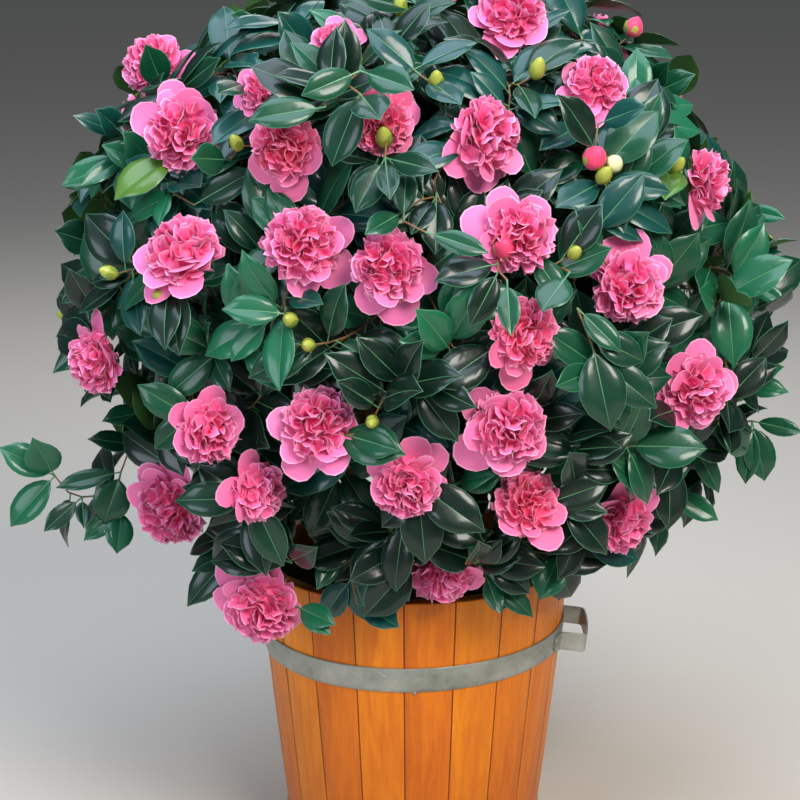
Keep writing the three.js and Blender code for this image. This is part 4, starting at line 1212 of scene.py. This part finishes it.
def find_room(base, outward, angle, draw, keep_out, wood, placed):
    """A leaf at base, turned on round its shoot until it clears all else. None if no turn has room."""
    centres, rooms = keep_out
    side = outward.cross(UP).normalized()
    rise = side.cross(outward).normalized()
    from_front = max(-1.0, min(1.0, 0.4 - outward.y * 1.6))
    light = Vector((LIGHT_SIDE.x, LIGHT_SIDE.y * from_front, LIGHT_SIDE.z))
    shape = leaf_shape(draw)
    spread = STANCE.spread + STANCE.spread_range * draw()
    sag = STANCE.sag * draw()
    lean = Vector((draw() - 0.5, draw() - 0.5, draw() - 0.5)) * STANCE.lean
    near = [leaf.tree for leaf in placed if (leaf.middle - base).length < STANCE.near]
    for attempt in range(LEAF.tries):
        turn = angle + attempt * 2 * math.pi / LEAF.tries
        heading = side * math.cos(turn) + rise * math.sin(turn)
        heading = heading + outward * (spread + STANCE.lift * (attempt % 3)) - UP * sag
        heading.normalize()
        face = square_to(outward * STANCE.outward + light * STANCE.light + lean, heading)
        leaf = SimpleNamespace(base=base, heading=heading, face=face, **vars(shape))
        if attempt > LEAF.tries / 2:
            leaf.length *= STANCE.shorter
        points, tree = outline_tree(leaf)
        if (points[:, 2] < STANCE.lowest).any() or not all(map(clear_of_tub, map(Vector, points))):
            continue
        middle = points[1:5].mean(axis=0)
        checked = np.concatenate([points[1:], [middle]])
        if (np.linalg.norm(checked[:, None] - centres[None], axis=2) < rooms[None]).any():
            continue
        if not tree.overlap(wood) and not any(tree.overlap(other) for other in near):
            leaf.tree, leaf.middle = tree, Vector(middle)
            return leaf
    return None


def spray_tone(height, draw):
    """The number of a spray's green: mostly deep, now and then yellow, and low in the crown often the shade
    green, which is painted shade.
    """
    shade = np.interp(height, (SHADE.lowest, SHADE.highest), (SHADE.most, 0))
    tone = int(np.searchsorted(TONE_LIMITS, draw()))
    return SHADE_TONE if draw() < shade else tone


def leaf_materials():
    """Rib, a pale edge strip of painted highlight and underside, then the greens of the blades in the order
    of their numbers, the last of them painted shade.
    """
    made = [leaf_material("leaf_rib", "4E8458", 0.4, 0.3), leaf_material("leaf_edge_highlight", "3C7658", 0.4, 0.3),
            leaf_material("leaf_under", "47703C", 0.5, 0.1)]
    made += [leaf_material(name, color) for name, color in LEAF_GREENS]
    return made + [leaf_material("leaf_inner_shade", "03110B", 0.5, 0.0)]


def build_leaves(leaves):
    """The leaves in pieces of a modest number of triangles each."""
    materials = leaf_materials()
    pieces = []
    for first in range(0, len(leaves), LEAVES_A_PIECE):
        shell = Shell()
        for leaf in leaves[first : first + LEAVES_A_PIECE]:
            shell.tube(leaf_grid(leaf), leaf_slots(leaf))
        piece = shell.build(f"leaves_{first // LEAVES_A_PIECE + 1}", materials, sharp=75)
        pieces.append(dress(piece, "foliage"))
    return pieces


# Blooms


def petal(spread, rows, columns, rounding=0.45, bend=0.0, bend_from=0.5, cup=0.0, ruffle=0.0,
          notch=0.0, waves=1.5, phase=0.0):
    """A petal one long along +X with its face to +Z: a fan with a round end. Its outer part bends back
    by an angle, its rim is waved and notched."""
    t = np.array(rows)[:, None]
    u = np.linspace(-1, 1, columns)[None, :]
    scallop = 1 + notch * np.sin(waves * 2.3 * u * math.pi + phase) * t**3
    reach = t * (1 - rounding * np.abs(u) ** 2.3) * scallop
    angle = u * spread * (1.2 - 0.2 * t)
    along, across = reach * np.cos(angle), reach * np.sin(angle)
    radius = (1 - bend_from) / (bend or 0.001)
    around = np.clip(along - bend_from, 0, None) / radius
    lift = cup * across**2 + ruffle * t**2 * np.sin(waves * u * math.pi + phase)
    x = np.minimum(along, bend_from) + (radius + lift) * np.sin(around)
    z = lift * np.cos(around) - radius * (1 - np.cos(around))
    return np.stack([x, np.broadcast_to(across, x.shape), z], axis=-1)


def turned(points, pitch, roll, azimuth):
    """Rolls a petal about its length, lifts it from level by pitch and turns it about +Z."""
    x, y, z = points[..., 0], points[..., 1], points[..., 2]
    y, z = rotated(y, z, roll)
    x, z = rotated(x, z, pitch)
    x, y = rotated(x, y, azimuth)
    return np.stack([x, y, z], axis=-1)


def openness(azimuth, side):
    """1 on the side where a bloom is open, 0 on the other."""
    return 1.0 if side is None else 0.5 + 0.5 * math.cos(azimuth - side)


def guard_petals(radius, side, draw):
    """Broad smooth petals round the bloom, largest on its open side and folded up behind the dome."""
    # Rows from the base: deep pink as painted shade, then the petal pinks, then a pale tip as painted
    # highlight.
    slots = np.array([HEART, MIDDLE, GUARD, GUARD, GUARD, RIM_HIGHLIGHT])
    grids = []
    for ring in GUARD_RINGS:
        first = draw() * 2 * math.pi
        for number in range(ring.count):
            azimuth = first + (number + 0.55 * (draw() - 0.5)) * 2 * math.pi / ring.count
            points = petal(
                math.radians(ring.spread * (0.85 + 0.3 * draw())), GUARD_ROWS, GUARD_SHAPE.columns,
                bend=0.4 * draw(), cup=0.5 * (draw() - 0.3), ruffle=0.01 + 0.03 * draw(),
                notch=GUARD_SHAPE.notch, waves=0.8 + 0.7 * draw(), phase=draw() * 2 * math.pi,
            )
            shown = openness(azimuth, side)
            reach = ring.reach * mix(GUARD_SHAPE.folded_reach, 1.0, shown)
            points *= radius * reach * (0.9 + 0.17 * draw())
            lift = ring.pitch + ring.pitch_change * (draw() - 0.45)
            pitch = math.radians(lift + GUARD_SHAPE.folded_pitch * (1 - shown))
            grids.append((turned(points, pitch, 0.5 * (draw() - 0.5), azimuth), slots))
    return grids


def curled_petals(radius, draw):
    """A dome of many narrow crumpled petals that hides the middle of the bloom."""
    grids = []
    lowest = math.cos(math.radians(CURLS.widest))
    for number in range(CURLS.count):
        share = (number + 0.5) / CURLS.count
        polar = math.acos(mix(1.0, lowest, share)) + 0.1 * (draw() - 0.5)
        azimuth = number * GOLDEN_ANGLE + 0.5 * (draw() - 0.5)
        points = petal(
            math.radians(12 + 7 * draw() + 4 * share), CURL_ROWS, CURLS.columns, CURLS.rounding,
            bend=1.2 * (draw() - 0.95 + 0.75 * share), bend_from=CURLS.bend_from,
            cup=2.0 * (draw() - 0.5), ruffle=0.05 + 0.05 * draw(), notch=CURLS.notch,
            waves=0.7 + 0.5 * draw(), phase=draw() * 2 * math.pi,
        )
        points *= radius * mix(CURLS.reach, CURLS.outer_reach, share) * (0.92 + 0.14 * draw())
        points = turned(points, math.pi / 2 - polar, 2.6 * (draw() - 0.5), azimuth)
        tip = MIDDLE if draw() > 0.2 + 0.7 * share else GUARD
        # Each curl runs from painted shade at its base to a painted highlight at its tip.
        grids.append((points, np.array([HEART, MIDDLE if draw() < 0.6 else tip, tip, RIM_HIGHLIGHT])))
    return grids


def petal_heart(radius, draw):
    """The crumpled middle that closes the gaps between the curled petals, in the deep pink of painted
    shade.
    """
    polar = np.radians(np.linspace(2, 88, 9))[:, None]
    azimuth = np.linspace(0, 2 * math.pi, 20, endpoint=False)[None, :]
    ripples = np.sin(7 * azimuth + 5 * polar + 6 * draw()) * np.sin(9 * polar + 6 * draw())
    size = radius * CURLS.heart * (1 + HEART_CRUMPLE * ripples)
    flat = size * np.sin(polar)
    height = size * np.cos(polar) - BLOOM_DEPTH * radius
    return np.stack([flat * np.cos(azimuth), flat * np.sin(azimuth), height], axis=-1)


def calyx(radius, draw):
    """The scales that hold a bloom's back."""
    shape = CALYX_SHAPE
    grids = []
    for number in range(shape.count):
        points = petal(shape.spread, shape.rows, 5, bend=shape.bend) * radius * shape.reach
        pitch = math.radians(shape.pitch + shape.pitch_range * draw())
        points = turned(points, pitch, 0.0, number * GOLDEN_ANGLE)
        grids.append((points + np.array([0, 0, -shape.depth * radius]), np.array([CALYX] * 3)))
    return grids


def bloom_grids(radius, side, draw):
    """Every open grid of one bloom that faces +Z, with its rows' materials. side is where it is open."""
    base = np.array([0, 0, -BLOOM_DEPTH * radius])
    shift = base
    if side is not None:
        shift = base - np.array([math.cos(side), math.sin(side), 0]) * (CURLS.shift * radius)
    grids = [(points + base, slots) for points, slots in guard_petals(radius, side, draw)]
    grids += [(points + shift, slots) for points, slots in curled_petals(radius, draw)]
    return grids + calyx(radius, draw)


def set_on(points, piece):
    """Points that face +Z, turned and moved to a bloom or bud."""
    turn = np.array(piece.facing.to_track_quat("Z", "Y").to_matrix())
    return points @ turn.T + np.array(piece.centre)


def open_side(number):
    """Where a bloom shows its broad petals, as an angle. None is all round."""
    seen = number < len(OPEN_SIDES)
    side = OPEN_SIDES[number] if seen else math.degrees(number * GOLDEN_ANGLE)
    return None if side is None else math.radians(side)


def build_blooms(blooms, materials):
    """The blooms in pieces of a modest number of triangles each."""
    pieces = []
    for first in range(0, len(blooms), BLOOMS_A_PIECE):
        shell = Shell()
        for number, bloom in enumerate(blooms[first : first + BLOOMS_A_PIECE], first):
            draw = random_stream(BLOOM_SEED + number)
            radius = bloom.radius * BLOOM_SPREAD
            tint = BLOOM_MATERIALS if number in WARM_BLOOMS else 0
            for points, rows in bloom_grids(radius, open_side(number), draw):
                shell.grid(set_on(points, bloom), rows[:, None] + tint)
            shell.grid(set_on(petal_heart(radius, draw), bloom), HEART + tint, wrap=True)
        piece = shell.build(f"blossom_{first // BLOOMS_A_PIECE + 1}", materials)
        pieces.append(dress(piece, "petals"))
    return pieces


def bud_outline(share):
    """A bud's half width at a share of its length, where it is one at its widest."""
    return np.sin(math.pi * share**0.8) ** 0.62


def bud_materials():
    """What shows between the scales in green, cream and pink, then the darker scales."""
    return [
        leaf_material("bud_green", "A9B14A", 0.4, 0.2), leaf_material("bud_cream", "E4E3B0", 0.45, 0.2),
        petal_material("bud_pink", "EA3E6C"), leaf_material("bud_scale", "80963C", 0.45, 0.2),
    ]


def build_buds(buds):
    """Pointed buds: a smooth body that shows between overlapping scales."""
    shell = Shell()
    for bud in buds:
        shape = BUD_SHAPES[bud.kind]
        length = bud.radius * shape.length
        rings = []
        for share in np.linspace(0.02, 1, 9):
            size = bud.radius * bud_outline(share) if share < 1 else 0.0004
            rings.append([(size * math.cos(angle), size * math.sin(angle), (share - 0.5) * length)
                          for angle in round_turn(12)])
        shell.tube(set_on(np.array(rings), bud), shape.slot)
        for scale in range(BUD_SCALES):
            order = scale / BUD_SCALES
            points = petal(0.5, SCALE_ROWS, 5) * length * (0.45 + 0.35 * shape.cover * order)
            x, y = points[..., 0], points[..., 1]
            height = x - 0.5 * length + 0.002 * order
            size = bud.radius * 1.05 * bud_outline(np.clip(x / length, 0.03, 0.97))
            azimuth = scale * GOLDEN_ANGLE + y / bud.radius
            wrapped = np.stack([size * np.cos(azimuth), size * np.sin(azimuth), height], axis=-1)
            shell.grid(set_on(wrapped, bud), SCALE_SLOTS[scale % 2])
    return dress(shell.build("buds", bud_materials()), "foliage")


# Wood


def bark_radii(radius, sides, relief, along, turn=0.0):
    """Radii round a limb at one place, with the ridges of its bark."""
    radii = []
    for angle in round_turn(sides) + turn:
        across = BARK_RELIEF.ridges_round
        place = Vector((math.cos(angle) * across, math.sin(angle) * across, along * BARK_RELIEF.ridges_up))
        radii.append(radius * (1 + relief * noise.fractal(place, 0.9, 2.0, 4)))
    return np.array(radii)


def build_limbs(masses, bark):
    """The stem and the boughs with the relief of their bark, in one piece."""
    shell = Shell()
    shares = np.linspace(0, 1, 80)
    points = [stem_point(share) for share in shares]
    lobes = np.cos(BARK_RELIEF.lobes * round_turn(BARK_SIDES.stem))
    radii = []
    for share, point in zip(shares, points):
        flare = BARK_RELIEF.flare * max(0.0, 1 - share / BARK_RELIEF.foot)
        bark_at = bark_radii(stem_radius(share), BARK_SIDES.stem, BARK_RELIEF.stem, point.z)
        radii.append(bark_at * (1 + flare * lobes))
    shell.tube(rings_along(points, radii, BARK_SIDES.stem))
    for number, mass in enumerate(masses):
        count = len(mass.points)
        radii = []
        for at in range(count):
            share = max(0.0, (at - 1) / (count - 2))
            collar = 1 + BARK_RELIEF.collar * max(0.0, 1 - share / BARK_RELIEF.foot)
            radius = mix(BOUGH.start, BOUGH.end, share) * collar
            along = at * BARK_RELIEF.bough_step
            radii.append(bark_radii(radius, BARK_SIDES.bough, BARK_RELIEF.bough, along, number))
        shell.tube(rings_along(mass.points, radii, BARK_SIDES.bough))
    nodes = ["stem"] + [f"bough_{number + 1:02d}" for number in range(MASSES.count)]
    return dress(shell.build("stem_and_boughs", [bark]), "bark", *nodes)


def build_twigs(twigs, materials):
    """Every twig in one piece, its bark greener where it is thin."""
    shell = Shell()
    for points, sizes in twigs:
        tones = np.searchsorted(TWIG_TONES, -np.array(sizes[:-1]))
        shell.tube(rings_along(points, sizes, TWIG.sides), tones[:, None])
    return dress(shell.build("twigs", materials), "bark")


def wood_tree(twigs):
    """Every twig as a coarse three-sided tube, for the test of a leaf's room."""
    points, faces = [], []
    for line, sizes in twigs:
        rings = rings_along(line, sizes, 3)
        start = len(points)
        points += rings.reshape(-1, 3).tolist()
        for row in range(len(rings) - 1):
            for side in range(3):
                a, b = start + row * 3 + side, start + row * 3 + (side + 1) % 3
                faces.append((a, b, b + 3, a + 3))
    return BVHTree.FromPolygons(points, faces)


def build_plant():
    """The shrub, from its blooms back to the stem, and then the leaves round all of that."""
    blooms = plan_blooms()
    buds = plan_buds(blooms)
    masses = plan_masses(blooms, buds)
    twigs = [twig for mass in masses for twig in grow_twigs(mass)]
    bark = bark_material()
    young_barks = [twig_material("young_bark", "7A3F2A", 0.6), twig_material("green_bark", "7A5A34", 0.5)]
    build_limbs(masses, bark)
    pieces = [build_twigs(twigs, [bark, *young_barks])]
    pieces += build_leaves(grow_leaves(masses, blooms, buds, wood_tree(twigs)))
    pieces += build_blooms(blooms, bloom_materials())
    build_buds(buds)
    for piece in pieces:
        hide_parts(*[f"foliage_{number + 1:02d}" for number in range(MASSES.count)])


# Stage


def build_stage():
    """A pale floor, a large soft key light from the upper right, and weaker light from the other sides."""
    shell = Shell()
    ends = (-FLOOR_REACH, FLOOR_REACH)
    shell.grid([[(x, y, 0) for x in ends] for y in ends])
    shell.build("floor", [material("pale_floor", "C6BFB4", 0.85)])
    world = bpy.data.worlds.new("studio")
    world.use_nodes = True
    background = world.node_tree.nodes["Background"]
    background.inputs["Color"].default_value = srgb(WORLD_COLOR)
    background.inputs["Strength"].default_value = WORLD_STRENGTH
    bpy.context.scene.world = world
    for name, (place, size, power, color) in LAMPS.items():
        area_light(name, Vector(place), size, power, color)


def area_light(name, place, size, power, color):
    """A square lamp that looks at the middle of the plant."""
    lamp = bpy.data.lights.new(name, "AREA")
    lamp.size = size
    lamp.energy = power
    lamp.color = srgb(color)[:3]
    light = bpy.data.objects.new(name, lamp)
    light.location = place
    light.rotation_euler = (LAMP_AIM - place).to_track_quat("-Z", "Y").to_euler()
    bpy.context.scene.collection.objects.link(light)


def build_camera():
    """The photograph's view: level across and a little down."""
    lens = bpy.data.cameras.new("camera")
    lens.lens = LENS.focal
    lens.sensor_width = LENS.sensor
    lens.clip_end = LENS.farthest
    camera = bpy.data.objects.new("camera", lens)
    camera.location = VIEWPOINT
    camera.rotation_euler = (math.radians(90 - VIEW_FALL), 0, 0)
    bpy.context.scene.collection.objects.link(camera)
    bpy.context.scene.camera = camera


bpy.context.scene.view_settings.view_transform = "Standard"
build_camera()
build_stage()
build_tub(steel_material())
build_plant()
